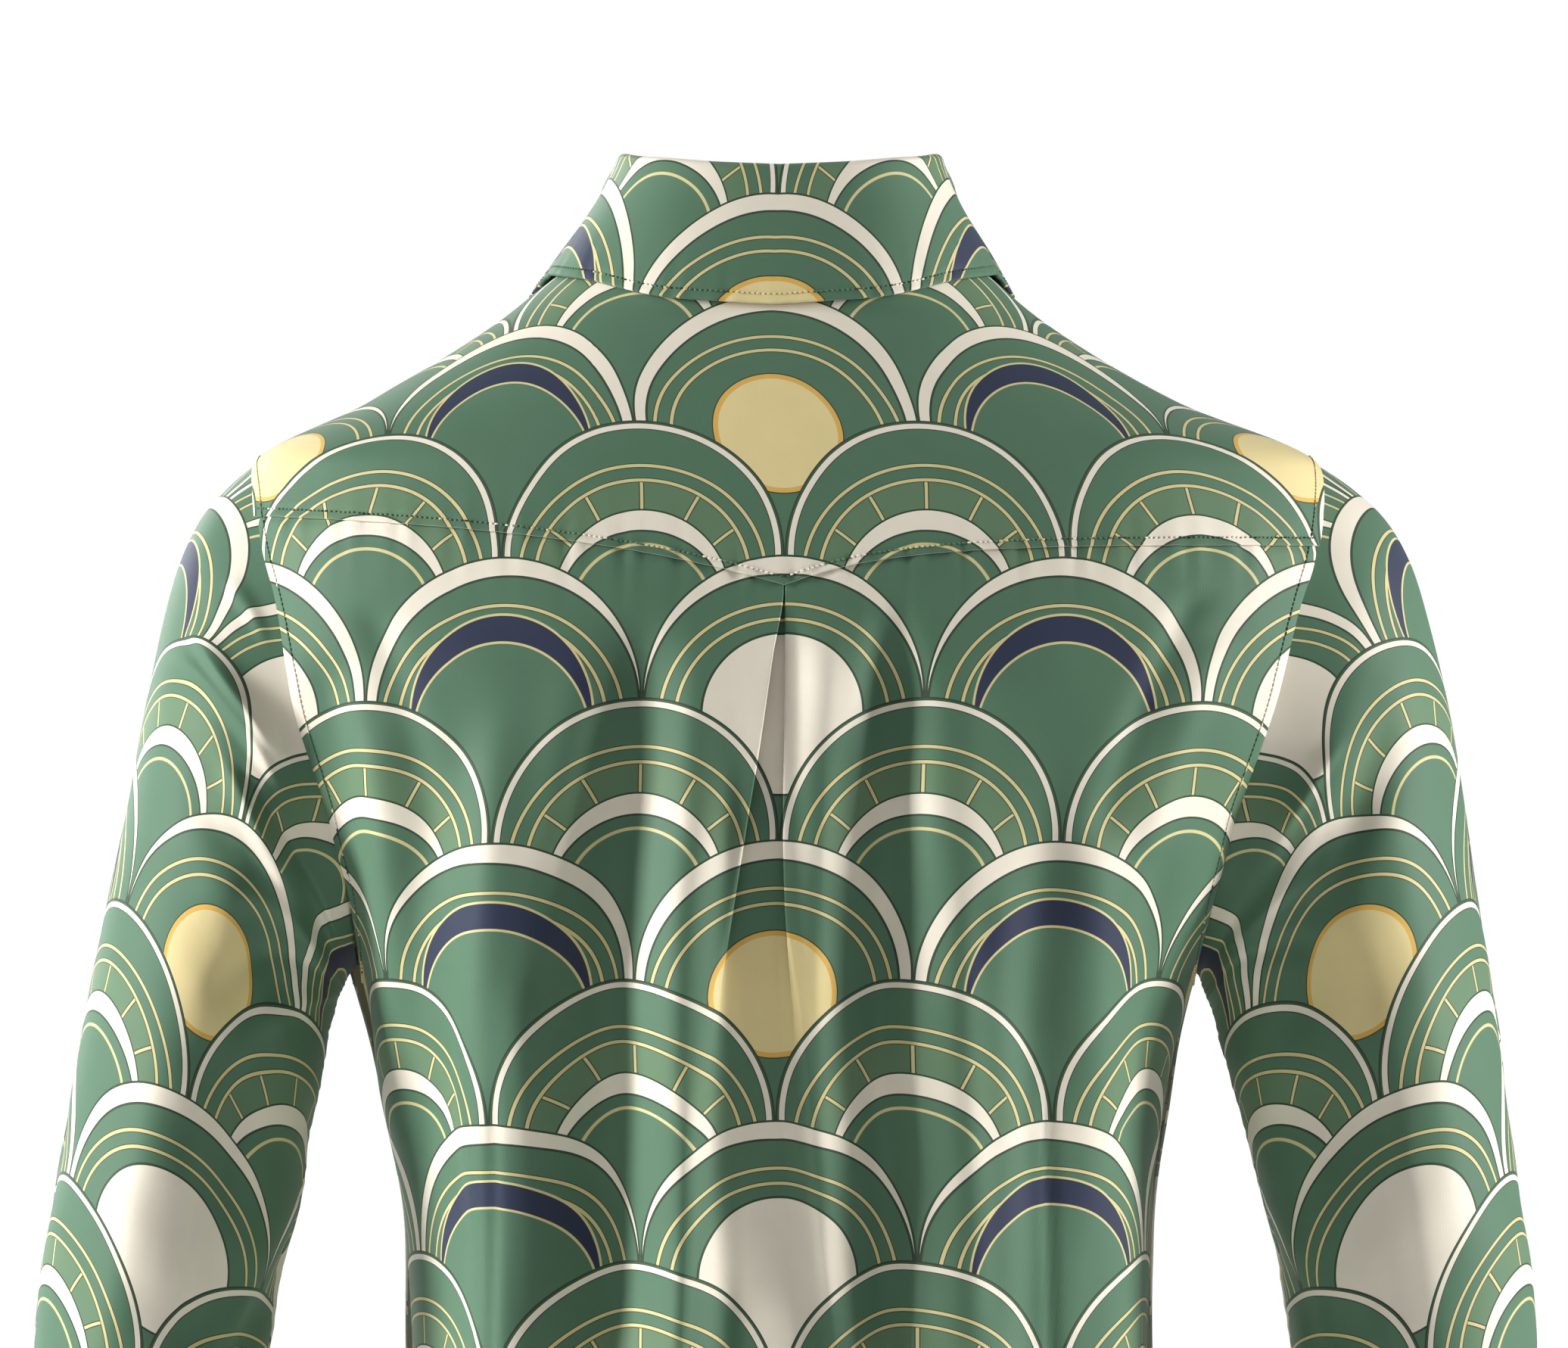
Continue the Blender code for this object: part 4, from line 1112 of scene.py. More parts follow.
def new_piece(name, mesh, *materials):
    """An object in the scene with a mesh and its materials."""
    for material in materials:
        mesh.materials.append(material)
    piece = bpy.data.objects.new(name, mesh)
    bpy.context.scene.collection.objects.link(piece)
    return piece


def print_on(mesh, places):
    """Notes where the print lies, in metres, at each corner of a mesh's faces."""
    layer = mesh.uv_layers.new(name="cloth")
    layer.data.foreach_set("uv", np.array(places, np.float32).reshape(-1))


def cloth_piece(name, grid, uv, turned=False, thick=None, skip=None, lined=False):
    """A sheet of cloth through a grid of points, with its wall and the print's map.

    A lined one shows the print on both its sides."""
    rows, columns = grid.shape[:2]
    verts = swayed(grid).reshape(-1, 3) * MM
    r, c = np.mgrid[0 : rows - 1, 0 : columns - 1]
    corner = r * columns + c
    quads = np.stack([corner, corner + 1, corner + columns + 1, corner + columns], axis=-1)
    if skip is not None:
        quads = quads[~skip]
    quads = quads.reshape(-1, 4)
    if turned:
        quads = quads[:, ::-1]
    mesh = bpy.data.meshes.new(name)
    mesh.from_pydata(verts.tolist(), [], quads.tolist())
    print_on(mesh, uv.reshape(-1, 2)[quads.reshape(-1)] * MM)
    mesh.shade_smooth()
    piece = new_piece(name, mesh, cloth_material("printed_cloth"),
                      cloth_material("printed_cloth_inside", faded=WRONG_SIDE_FADED))
    wall = piece.modifiers.new("wall", "SOLIDIFY")
    wall.thickness = settings().cloth_thickness if thick is None else thick
    wall.offset = -1
    wall.material_offset = wall.material_offset_rim = 0 if lined else 1
    return piece


def declare(piece, node):
    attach(piece, "root")
    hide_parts(node)


def settings():
    """The sizes and colours that the panel shows."""
    return bpy.context.scene.golf_shirt


# ------------------------------------------------------------------------- materials


class Sums:
    """Short ways to write sums in a node tree."""

    def __init__(self, tree):
        self.tree = tree

    def node(self, kind, **values):
        made = self.tree.nodes.new(kind)
        for key, value in values.items():
            setattr(made, key, value)
        return made

    def math(self, operation, *inputs):
        made = self.node("ShaderNodeMath", operation=operation)
        for socket, value in zip(made.inputs, inputs):
            self.give(socket, value)
        return made.outputs[0]

    def give(self, socket, value):
        if isinstance(value, bpy.types.NodeSocket):
            self.tree.links.new(value, socket)
        else:
            socket.default_value = value

    def add(self, a, b):
        return self.math("ADD", a, b)

    def sub(self, a, b):
        return self.math("SUBTRACT", a, b)

    def mul(self, a, b):
        return self.math("MULTIPLY", a, b)

    def less(self, a, b):
        return self.math("LESS_THAN", a, b)

    def both(self, a, b):
        """1 where two masks are."""
        return self.math("MINIMUM", a, b)

    def either(self, a, b):
        return self.math("MAXIMUM", a, b)

    def between(self, value, low, high):
        return self.both(self.less(low, value), self.less(value, high))

    def length(self, x, y):
        return self.math("SQRT", self.add(self.mul(x, x), self.mul(y, y)))

    def ellipse(self, x, y, centre_y, half_width, half_height):
        """The distance from an ellipse's centre, as a share of its own radius."""
        up = self.math("DIVIDE", self.sub(y, centre_y), half_height)
        return self.length(self.math("DIVIDE", x, half_width), up)

    def remainder(self, value, whole):
        return self.math("FLOORED_MODULO", value, whole)

    def pick(self, mask, low, high):
        """low where the mask is 0 and high where it is 1."""
        return self.math("MULTIPLY_ADD", mask, self.sub(high, low), low)

    def colour(self, mask, low, high):
        """The colour low where the mask is 0 and high where it is 1."""
        made = self.node("ShaderNodeMix", data_type="RGBA")
        self.give(made.inputs[0], mask)
        self.give(made.inputs[6], low)
        self.give(made.inputs[7], high)
        return made.outputs[2]


def group(name, inputs, outputs):
    """A new shader node group with named sockets, and its two end nodes."""
    tree = bpy.data.node_groups.new(name, "ShaderNodeTree")
    for label, kind, default in inputs:
        socket = tree.interface.new_socket(name=label, in_out="INPUT", socket_type=kind)
        if default is not None:
            socket.default_value = default
    for label, kind in outputs:
        tree.interface.new_socket(name=label, in_out="OUTPUT", socket_type=kind)
    return tree, tree.nodes.new("NodeGroupInput"), tree.nodes.new("NodeGroupOutput")


def scallop_print():
    """The print: rows of fans, each with a tapering ribbon, fine lines, and discs."""
    found = bpy.data.node_groups.get("scallop print")
    if found:
        return found
    colours = ("Ground", "Leaf", "Ribbon", "Line", "Disc", "Rim", "Navy", "Outline")
    tree, start, end = group(
        "scallop print",
        [("Cloth", "NodeSocketVector", None), ("Fan radius", "NodeSocketFloat", 0.047)]
        + [(c, "NodeSocketColor", (0.5, 0.5, 0.5, 1)) for c in colours],
        [("Color", "NodeSocketColor")],
    )
    s = Sums(tree)
    split = s.node("ShaderNodeSeparateXYZ")
    s.give(split.inputs[0], start.outputs["Cloth"])
    u = s.math("DIVIDE", split.outputs[0], start.outputs["Fan radius"])
    v = s.math("DIVIDE", split.outputs[1], start.outputs["Fan radius"])
    row = s.math("FLOOR", v)
    up = s.sub(v, row)
    stagger = s.remainder(row, 2.0)

    def nearest(shift):
        """The nearest fan's number in a row, and the place across from its middle."""
        moved = s.sub(u, shift)
        number = s.math("ROUND", s.mul(moved, 0.5))
        return number, s.sub(moved, s.mul(number, 2.0))

    # the fan that shows here: this row's, or outside of it the one in the row above
    number_here, x_here = nearest(stagger)
    number_above, x_above = nearest(s.sub(1.0, stagger))
    inside = s.less(s.length(x_here, up), 1.0)
    x = s.pick(inside, x_above, x_here)
    y = s.pick(inside, s.sub(up, 1.0), up)
    column = s.pick(inside, number_above, number_here)
    line = s.pick(inside, s.add(row, 1.0), row)
    r = s.length(x, y)

    # which of the designs it has
    even = s.less(s.remainder(line, 2.0), 0.5)
    odd = s.sub(1.0, even)
    phase = s.remainder(line, 4.0)
    even_column = s.less(s.remainder(column, 2.0), 0.5)
    sun = s.both(even_column, s.less(phase, 0.5))
    moon = s.both(even_column, s.between(phase, 1.5, 2.5))
    rest = s.sub(even, s.both(even, s.either(sun, moon)))
    parity = s.remainder(s.add(column, s.mul(line, 0.5)), 2.0)
    lean_side = s.mul(s.sub(s.less(parity, 0.75), 0.5), 0.07)

    # its shapes
    ribbon = s.ellipse(s.add(x, lean_side), y, -0.06, 0.955, 0.925)
    second = s.ellipse(x, y, -0.16, 0.92, 0.86)
    heart = s.ellipse(x, y, -0.34, 0.62, 0.66)
    heart_in = s.ellipse(x, y, -0.40, 0.60, 0.58)
    sun_disc = s.ellipse(x, y, -0.10, 0.44, 0.44)
    moon_disc = s.ellipse(x, y, -0.12, 0.56, 0.56)
    crescent = s.ellipse(x, y, -0.12, 0.66, 0.70)
    crescent_in = s.ellipse(x, y, -0.30, 0.66, 0.70)
    from_tip = s.ellipse(x, y, -1.0, 1.0, 1.0)
    lean = s.math("ARCTAN2", x, s.add(y, 1.0))
    wide = s.less(-0.8, y)  # not in its narrow foot

    printed = start.outputs["Ground"]

    def lay(name, *masks):
        """Prints a colour over what is there, where all of its masks meet."""
        nonlocal printed
        where = masks[0]
        for mask in masks[1:]:
            where = s.both(where, mask)
        printed = s.colour(where, printed, start.outputs[name])

    lay("Leaf", odd, s.less(second, 0.80))
    # fine rays in the plain fans
    for at in (-0.62, -0.31, 0.0, 0.31, 0.62):
        off = s.mul(s.math("ABSOLUTE", s.sub(lean, s.mul(from_tip, at * 0.6))), from_tip)
        for name, reach in (("Outline", 0.019), ("Line", 0.011)):
            lay(name, s.less(off, reach), s.less(second, 0.80), odd, s.less(1.0, heart))
    # two fine lines inside the edge
    for low, high in ((0.925, 0.965), (0.80, 0.84)):
        lay("Outline", wide, s.between(second, low, high))
        lay("Line", wide, s.between(second, low + 0.007, high - 0.007))
    # the ribbon along the fan's edge, which tapers in every other row
    lay("Outline", s.less(0.985, r))
    lay("Outline", s.less(0.982, ribbon), even)
    lay("Ribbon", s.less(1.0, ribbon), s.less(r, 0.985), even)
    lay("Outline", odd, s.between(r, 0.928, 0.982))
    lay("Ribbon", odd, s.between(r, 0.935, 0.975))
    # a small fan at the heart of the plain ones
    lay("Outline", odd, s.less(heart, 1.02))
    lay("Ground", odd, s.less(heart, 1.0))
    lay("Ribbon", odd, s.less(heart, 1.0), s.less(1.0, heart_in))
    lay("Outline", odd, s.between(heart_in, 0.975, 1.0))
    lay("Line", odd, wide, s.between(heart_in, 0.80, 0.84))
    # navy crescents in the rest of the even rows
    lay("Line", rest, s.less(crescent, 1.025), s.less(0.975, crescent_in))
    lay("Navy", rest, s.less(crescent, 1.0), s.less(1.0, crescent_in))
    # the discs
    for name, reach in (("Outline", 1.05), ("Rim", 1.03), ("Disc", 0.95)):
        lay(name, sun, s.less(sun_disc, reach))
    for name, reach in (("Outline", 1.03), ("Ribbon", 1.0)):
        lay(name, moon, s.less(moon_disc, reach))
    tree.links.new(printed, end.inputs["Color"])
    return tree


def fine_twill():
    """The weave: diagonal ribs with slow unevenness, as a height and a shade; the shade is painted
    light on the ribs and painted shade between them, with the cloth's own uneven tone.
    """
    found = bpy.data.node_groups.get("fine twill")
    if found:
        return found
    tree, start, end = group(
        "fine twill",
        [("Cloth", "NodeSocketVector", None), ("Rib pitch", "NodeSocketFloat", 0.0007)],
        [("Height", "NodeSocketFloat"), ("Shade", "NodeSocketFloat")],
    )
    s = Sums(tree)
    split = s.node("ShaderNodeSeparateXYZ")
    s.give(split.inputs[0], start.outputs["Cloth"])
    rate = s.math("DIVIDE", 2 * math.pi, start.outputs["Rib pitch"])
    across = s.mul(split.outputs[0], rate)
    down = s.mul(split.outputs[1], rate)
    rib = s.math("SINE", s.add(across, s.mul(down, 0.12)))
    thread = s.math("SINE", s.mul(down, 1.3))
    cloudy = s.node("ShaderNodeTexNoise")
    cloudy.inputs["Scale"].default_value = 55.0
    cloudy.inputs["Detail"].default_value = 3.0
    tree.links.new(start.outputs["Cloth"], cloudy.inputs["Vector"])
    height = s.add(s.mul(rib, 0.6), s.mul(thread, 0.25))
    clouds = s.mul(s.sub(cloudy.outputs[0], 0.5), CLOUD_SHADE)
    # painted light and shade that follow the ribs' height, plus the cloth's own uneven tone
    shade = s.add(s.mul(height, RIB_PAINTED_SHADE), clouds)
    tree.links.new(height, end.inputs["Height"])
    tree.links.new(s.add(shade, 1.0), end.inputs["Shade"])
    return tree


def principled(name, **values):
    """A new material with its Principled shader, whose inputs the values set."""
    made = bpy.data.materials.new(name)
    made.use_nodes = True
    shader = made.node_tree.nodes["Principled BSDF"]
    for label, value in values.items():
        shader.inputs[label.replace("_", " ")].default_value = value
    return made, shader


def cloth_material(name, shade=1.0, faded=0.0):
    """The printed cloth, darkened by a painted shade where one is given, or faded towards its
    unprinted wrong side.
    """
    found = bpy.data.materials.get(name)
    if found:
        return found
    own = settings()
    made, shader = principled(
        name, Roughness=0.62, Sheen_Weight=0.25, Sheen_Roughness=0.45,
        Specular_IOR_Level=0.35, Sheen_Tint=(0.85, 0.95, 0.88, 1))
    tree = made.node_tree
    s = Sums(tree)
    place = s.node("ShaderNodeUVMap", uv_map="cloth")
    drawn = s.node("ShaderNodeGroup", node_tree=scallop_print())
    weave = s.node("ShaderNodeGroup", node_tree=fine_twill())
    tree.links.new(place.outputs[0], drawn.inputs["Cloth"])
    tree.links.new(place.outputs[0], weave.inputs["Cloth"])
    drawn.inputs["Fan radius"].default_value = own.fan_radius
    weave.inputs["Rib pitch"].default_value = own.rib_pitch
    for label in ("ground", "leaf", "ribbon", "line", "disc", "rim", "navy", "outline"):
        colour = mix(np.array(getattr(own, label)), np.array(own.ribbon) * 0.8, faded)
        drawn.inputs[label.capitalize()].default_value = (*colour * shade, 1)
    shaded = s.node("ShaderNodeVectorMath", operation="SCALE")
    tree.links.new(drawn.outputs["Color"], shaded.inputs[0])
    tree.links.new(weave.outputs["Shade"], shaded.inputs["Scale"])
    tree.links.new(shaded.outputs[0], shader.inputs["Base Color"])
    bump = s.node("ShaderNodeBump")
    bump.inputs["Strength"].default_value = WEAVE_STRENGTH
    bump.inputs["Distance"].default_value = WEAVE_DEPTH
    tree.links.new(weave.outputs["Height"], bump.inputs["Height"])
    tree.links.new(bump.outputs[0], shader.inputs["Normal"])
    return made


def plain_material(name, colour, roughness, **values):
    found = bpy.data.materials.get(name)
    if found:
        return found
    return principled(name, Base_Color=(*colour, 1), Roughness=roughness, **values)[0]


# -------------------------------------------------------------------------- stitching


def turns(count):
    """The angles of so many places round a circle."""
    return [2 * math.pi * k / count for k in range(count)]


def ring_faces(start, rings, sides):
    """The faces between rings of points that follow one another, from a first point on."""
    faces = []
    for ring in range(rings - 1):
        for k in range(sides):
            a, b = start + ring * sides + k, start + ring * sides + (k + 1) % sides
            faces.append((a, b, b + sides, a + sides))
    return faces


def cloth_tree(pieces):
    """A search tree over pieces' outer faces, and where the print lies on each face."""
    verts, faces, places = [], [], []
    for name in pieces:
        mesh = bpy.data.objects[name].data
        layer = mesh.uv_layers["cloth"].data
        start = len(verts)
        verts += [v.co.copy() for v in mesh.vertices]
        faces += [[start + i for i in p.vertices] for p in mesh.polygons]
        places += [sum((layer[i].uv for i in p.loop_indices), Vector((0, 0))) / p.loop_total
                   for p in mesh.polygons]
    return BVHTree.FromPolygons(verts, faces), places


def stitches(name, paths, on, length=STITCH_LENGTH, radius=STITCH_RADIUS,
             pitch=STITCH_PITCH):
    """One mesh of small thread stitches that follow paths of points in metres.

    Each takes up the print's colour where it lies, like thread printed with the cloth,
    and its two ends are painted darker, a painted shade for the dimples where it goes down."""
    tree, printed = cloth_tree(on)
    parts = len(STITCH_RINGS) - 1
    # the end faces of each stitch take the darker material: painted shade for the dimples between
    # stitches
    ends = [int(part in (0, parts - 1)) for part in range(parts) for _ in range(STITCH_SIDES)]
    verts, faces, places, kinds = [], [], [], []
    for path in paths:
        gaps = run_along(path)
        count = max(1, int(gaps[-1] / (pitch * MM)))
        marks = (np.arange(count) + 0.5) * gaps[-1] / count
        spots, ahead = (
            np.stack([np.interp(at, gaps, path[:, k]) for k in range(3)], axis=-1)
            for at in (marks, marks + 0.5 * MM))
        for spot, front in zip(spots, ahead):
            place, normal, face, _ = tree.find_nearest(Vector(spot))
            along = Vector(front - spot)
            along = (along - normal * along.dot(normal)).normalized()
            beside = normal.cross(along)
            faces += ring_faces(len(verts), parts + 1, STITCH_SIDES)
            places += [printed[face]] * 4 * len(ends)
            kinds += ends
            for share, size, lift in STITCH_RINGS:
                centre = place + along * (share * length * MM) + normal * (lift * radius * MM)
                wide = radius * size * MM
                for turn in turns(STITCH_SIDES):
                    verts.append(centre + beside * (math.cos(turn) * wide)
                                 + normal * (math.sin(turn) * wide * 0.8))
    mesh = bpy.data.meshes.new(name)
    mesh.from_pydata(verts, [], faces)
    print_on(mesh, places)
    mesh.polygons.foreach_set("material_index", kinds)
    mesh.shade_smooth()
    # the second material is the stitch ends' painted shade
    piece = new_piece(name, mesh, cloth_material("printed_thread"),
                      cloth_material("printed_thread_end_painted_shade", shade=THREAD_END_PAINTED_SHADE))
    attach(piece, "root")


def hung(points):
    """Points of the even shirt in metres, where they hang."""
    return swayed(np.asarray(points, float)) * MM


def yoke_stitch_path():
    """Just above the back seam, from armhole to armhole."""
    right, left = yoke_end(np.array((False, True)))[:, 0]
    x = np.linspace(1 - right, left - 1, 400)
    z = yoke_seam_height(x) + YOKE_STITCH_IN
    return hung(torso(angle_at_x(x, z), z))


def armhole_stitch_path(side):
    """Beside the armhole, on the body: up the back and down the front."""
    turn = np.linspace(172, -172, 300)
    edge = armhole(turn)
    along = unit(np.gradient(edge, axis=0))
    inward = unit(np.cross(along, torso_out(angle_of(edge), edge[:, 2])))
    inward *= -np.sign(inward[:, :1])
    path = edge + inward * ARMHOLE_STITCH_IN
    path[:, 0] *= side
    return hung(path)


def shoulder_stitch_path(side):
    """Just behind the yoke's front edge."""
    t = np.linspace(0.02, 0.98, 200)
    in_angle, in_z, out_angle, out_z = (v[0] for v in yoke_spoke(np.array([1.0]), side))
    angle = mix(in_angle, out_angle, t) - SHOULDER_STITCH_BACK
    return hung(torso(side * angle, mix(in_z, out_z, t)))


def hem_stitch_path():
    """All round the body, the turned hem's height above its edge."""
    angle = np.linspace(-180, 180, 700)
    x = torso(angle, HEM_Z)[..., 0]
    return hung(torso(angle, hem_height(x) + HEM_STITCH_UP))


def cuff_stitch_path(side):
    """Round the sleeve, the turned hem's height above its end."""
    last = len(SLEEVE) - 1
    turn = np.linspace(0, 360, 260)
    end = sleeve_ring(np.full(2, float(last)), np.zeros(2))[0]
    before = sleeve_ring(np.full(2, last - 1.0), np.zeros(2))[0]
    at = last - CUFF_STITCH_UP / np.linalg.norm(end - before)
    ring = sleeve_ring(np.full_like(turn, at), turn)
    ring[:, 0] *= side
    return hung(ring)


def collar_stitch_paths():
    """Along the leaf's lower edge, and down its two front ends."""
    points, uv = leaf_grid()
    from_edge = uv[..., 1] - LEAF_PRINT_RISE
    first, last = COLLAR_STITCH_COLUMNS, points.shape[1] - 1 - COLLAR_STITCH_COLUMNS
    rows = np.argmin(np.abs(from_edge - COLLAR_STITCH_IN), axis=0)
    edge = [points[rows[column], column] for column in range(first, last + 1)]
    ends = [points[ROLL_STEPS + 3 : rows[0] + 1, column] for column in (first, last)]
    return [hung(line) for line in (edge, *ends)]


def placket_stitch_paths():
    """Down both edges of the upper strip, and across it in two lines at its foot."""
    foot = slit_foot() - PLACKET_OVER_LONGER
    edge = PLACKET_HALF_WIDTH - PLACKET_STITCH_IN
    down = np.linspace(foot + PLACKET_STITCH_IN, neck_height(180) - 4, 200)
    across = np.linspace(-edge, edge, 40)
    lines = [(np.full_like(down, side * edge), down) for side in (-1, 1)]
    for up in (PLACKET_STITCH_IN, PLACKET_BOX):
        lines.append((across, np.full_like(across, foot + up)))
    paths = []
    for x, z in lines:
        angle = angle_at_x(x, z, True)
        paths.append(hung(torso(angle, z) + torso_out(angle, z) * PLACKET_OUT))
    return paths


# ----------------------------------------------------------------------------- buttons


def button_places():
    """Each button's number, its middle on the cloth, and the way that it faces."""
    up, outward = (v[0] for v in collar_up(np.array([180.0])))
    middle = neck_point(np.array([180.0]))[0] + up * STAND_BUTTON_UP + outward * SEAM_GAP
    places = [(1, middle, outward, up)]
    for number, z in enumerate(BUTTON_HEIGHTS, 2):
        out = torso_out(180.0, z)
        middle = torso(180.0, z) + out * (PLACKET_OUT + SEAM_GAP / 2)
        places.append((number, middle, out, None))
    return places


def lathe(profile, sides):
    """The points and faces of a profile of (radius, height) turned round Z."""
    verts = [(radius * math.cos(turn), radius * math.sin(turn), height)
             for radius, height in profile for turn in turns(sides)]
    faces = ring_faces(0, len(profile), sides)
    faces.append(tuple(range(sides))[::-1])
    faces.append(tuple(range(len(verts) - sides, len(verts))))
    return verts, faces


def button_piece(number, middle, outward):
    """A resin button with a rim, four holes and its thread."""
    r, h = BUTTON_RADIUS, BUTTON_THICK
    body = ((r * 0.9, 0.0), (r * 0.98, h * 0.2), (r, h * 0.55), (r * 0.97, h * 0.8),
            (r * 0.9, h * 0.97), (r * 0.82, h), (r * 0.74, h * 0.95), (r * 0.68, h * 0.8),
            (r * 0.6, h * 0.68), (r * 0.5, h * 0.64), (0.05, h * 0.62))
    verts, faces = lathe(body, 48)
    kinds = [0] * len(faces)
    # each hole is a flat dark disc: painted shade where the hole would go through
    for x, y in CORNERS:
        hole, hole_faces = lathe(tuple(zip(HOLE_RADII, (h * 0.63, h * 0.655))), 12)
        start = len(verts)
        verts += [(a + x * HOLE_APART, b + y * HOLE_APART, c) for a, b, c in hole]
        faces += [tuple(start + i for i in f) for f in hole_faces]
        kinds += [1] * len(hole_faces)
    rings, sides = 9, 8
    across, up = THREAD_RADII
    for y in (-HOLE_APART, HOLE_APART):
        thread_faces = ring_faces(len(verts), rings, sides)
        faces += thread_faces
        kinds += [2] * len(thread_faces)
        for t in np.linspace(0, 1, rings):
            x = mix(-HOLE_APART, HOLE_APART, t)
            height = h * 0.64 + math.sin(math.pi * t) * THREAD_LIFT
            verts += [(x, y + across * math.cos(turn), height + up * math.sin(turn))
                      for turn in turns(sides)]
    spin = Vector((0, 0, 1)).rotation_difference(Vector(outward))
    place = Vector(swayed(np.array(middle))) * MM
    mesh = bpy.data.meshes.new(f"button_{number}_resin")
    mesh.from_pydata([place + spin @ (Vector(v) * MM) for v in verts], [], faces)
    mesh.polygons.foreach_set("material_index", kinds)
    mesh.shade_smooth()
    own = settings()
    piece = new_piece(
        f"button_{number}_resin", mesh,
        plain_material("button_resin", own.button, 0.25, Coat_Weight=0.4),
        plain_material("button_hole_painted_shade", (0.03, 0.03, 0.025), 0.8),
        plain_material("button_thread", (0.62, 0.57, 0.42), 0.6))
    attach(piece, "root")
    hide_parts(f"button_{number}")


def buttonhole_path(middle, along):
    """A narrow loop round a buttonhole."""
    turn = np.linspace(0, 2 * math.pi, 90)
    beside = np.array([1.0, 0.0, 0.0]) if abs(along[0]) < 0.5 else np.array([0.0, 0.0, 1.0])
    loop = (np.outer(np.cos(turn), along) * BUTTONHOLE_LENGTH / 2
            + np.outer(np.sin(turn), beside) * BUTTONHOLE_WIDTH / 2)
    return hung(middle + loop)


# ------------------------------------------------------------------------- the add-on


def colour_property(name, what, default):
    return FloatVectorProperty(
        name=name, description=what, default=default, subtype="COLOR", min=0, max=1, size=3)


class GolfShirtSettings(bpy.types.PropertyGroup):
    """The sizes and colours that a user may change before building the shirt."""

    cloth_thickness: FloatProperty(
        name="Cloth thickness", description="How thick the printed cloth is",
        default=0.0006, min=0.0003, max=0.0009, unit="LENGTH", precision=4)
    fan_radius: FloatProperty(
        name="Fan radius", description="The radius of one fan of the print",
        default=0.051, min=0.01, max=0.1, unit="LENGTH")
    rib_pitch: FloatProperty(
        name="Rib pitch", description="The distance from one twill rib to the next",
        default=0.0006, min=0.0004, max=0.003, unit="LENGTH", precision=4)
    ground: colour_property("Ground", "The print's main green", (0.085, 0.185, 0.11))
    leaf: colour_property("Leaf", "The paler green inside some fans", (0.12, 0.22, 0.12))
    ribbon: colour_property("Ribbon", "The cream of the ribbons", (0.91, 0.84, 0.70))
    line: colour_property("Line", "The pale yellow of the fine lines", (0.72, 0.62, 0.3))
    disc: colour_property("Disc", "The yellow of the discs", (0.84, 0.70, 0.34))
    rim: colour_property("Rim", "The amber rim of the discs", (0.78, 0.47, 0.1))
    navy: colour_property("Navy", "The dark crescents", (0.02, 0.03, 0.07))
    outline: colour_property("Outline", "The dark edge of each motif", (0.03, 0.06, 0.03))
    button: colour_property("Button", "The resin of the buttons", (0.80, 0.75, 0.62))
    floor: colour_property("Floor", "The studio floor", (0.86, 0.86, 0.85))


class PieceOperator:
    """What the shirt's operators share."""

    bl_options = {"REGISTER", "UNDO"}


class GOLFSHIRT_OT_back(PieceOperator, bpy.types.Operator):
    """Make the back panel with its box pleat and darts"""

    bl_idname = "golf_shirt.make_back"
    bl_label = "Back panel"

    def execute(self, context):
        points, uv, cut, outward = back_grid()
        reach = LAP + PLEAT_LAP * np.exp(-((points[-1, :, 0] / PLEAT_LAP_WIDTH) ** 2))
        points, uv = lapped(points, uv, LAP_SINK, reach, outward=outward)
        piece = cloth_piece("back_cloth", points, uv, turned=True)
        declare(piece, "back_panel")
        return {"FINISHED"}


class GOLFSHIRT_OT_yoke(PieceOperator, bpy.types.Operator):
    """Make the shoulder yoke"""

    bl_idname = "golf_shirt.make_yoke"
    bl_label = "Shoulder yoke"

    def execute(self, context):
        points, uv = yoke_grid()
        piece = cloth_piece("yoke_cloth", points, uv)
        declare(piece, "back_yoke")
        return {"FINISHED"}


class GOLFSHIRT_OT_front(PieceOperator, bpy.types.Operator):
    """Make the front panel, slit for the placket"""

    bl_idname = "golf_shirt.make_front"
    bl_label = "Front panel"

    def execute(self, context):
        points, uv = front_grid()
        points, uv = lapped(points, uv, LAP_SINK)
        middle = points.shape[1] // 2
        skip = np.zeros((points.shape[0] - 1, points.shape[1] - 1), bool)
        open_rows = points[:-1, middle, 2] > slit_foot()
        skip[open_rows, middle - SLIT_COLUMNS : middle + SLIT_COLUMNS] = True
        piece = cloth_piece("front_cloth", points, uv, turned=True, skip=skip)
        declare(piece, "front_panel")
        return {"FINISHED"}


class GOLFSHIRT_OT_sleeves(PieceOperator, bpy.types.Operator):
    """Make both long sleeves"""

    bl_idname = "golf_shirt.make_sleeves"
    bl_label = "Sleeves"

    def execute(self, context):
        for side, word, creases, drags in (
            (1, "left", LEFT_SLEEVE_CREASES, LEFT_DRAGS),
            (-1, "right", RIGHT_SLEEVE_CREASES, RIGHT_DRAGS),
        ):
            points, uv = lapped(*sleeve_grid(side, creases, drags), 0.0, reach=SLEEVE_LAP)
            piece = cloth_piece(f"{word}_sleeve_cloth", points, uv, turned=side > 0)
            declare(piece, f"sleeve_{word}")
        return {"FINISHED"}


class GOLFSHIRT_OT_collar(PieceOperator, bpy.types.Operator):
    """Make the collar's stand and leaf"""

    bl_idname = "golf_shirt.make_collar"
    bl_label = "Collar"

    def execute(self, context):
        points, uv = stand_grid()
        piece = cloth_piece(
            "collar_stand_cloth", points, uv, turned=True, thick=COLLAR_WALL, lined=True)
        declare(piece, "collar_stand")
        points, uv = leaf_grid()
        piece = cloth_piece("collar_leaf_cloth", points, uv, thick=COLLAR_WALL, lined=True)
        declare(piece, "collar_leaf")
        return {"FINISHED"}


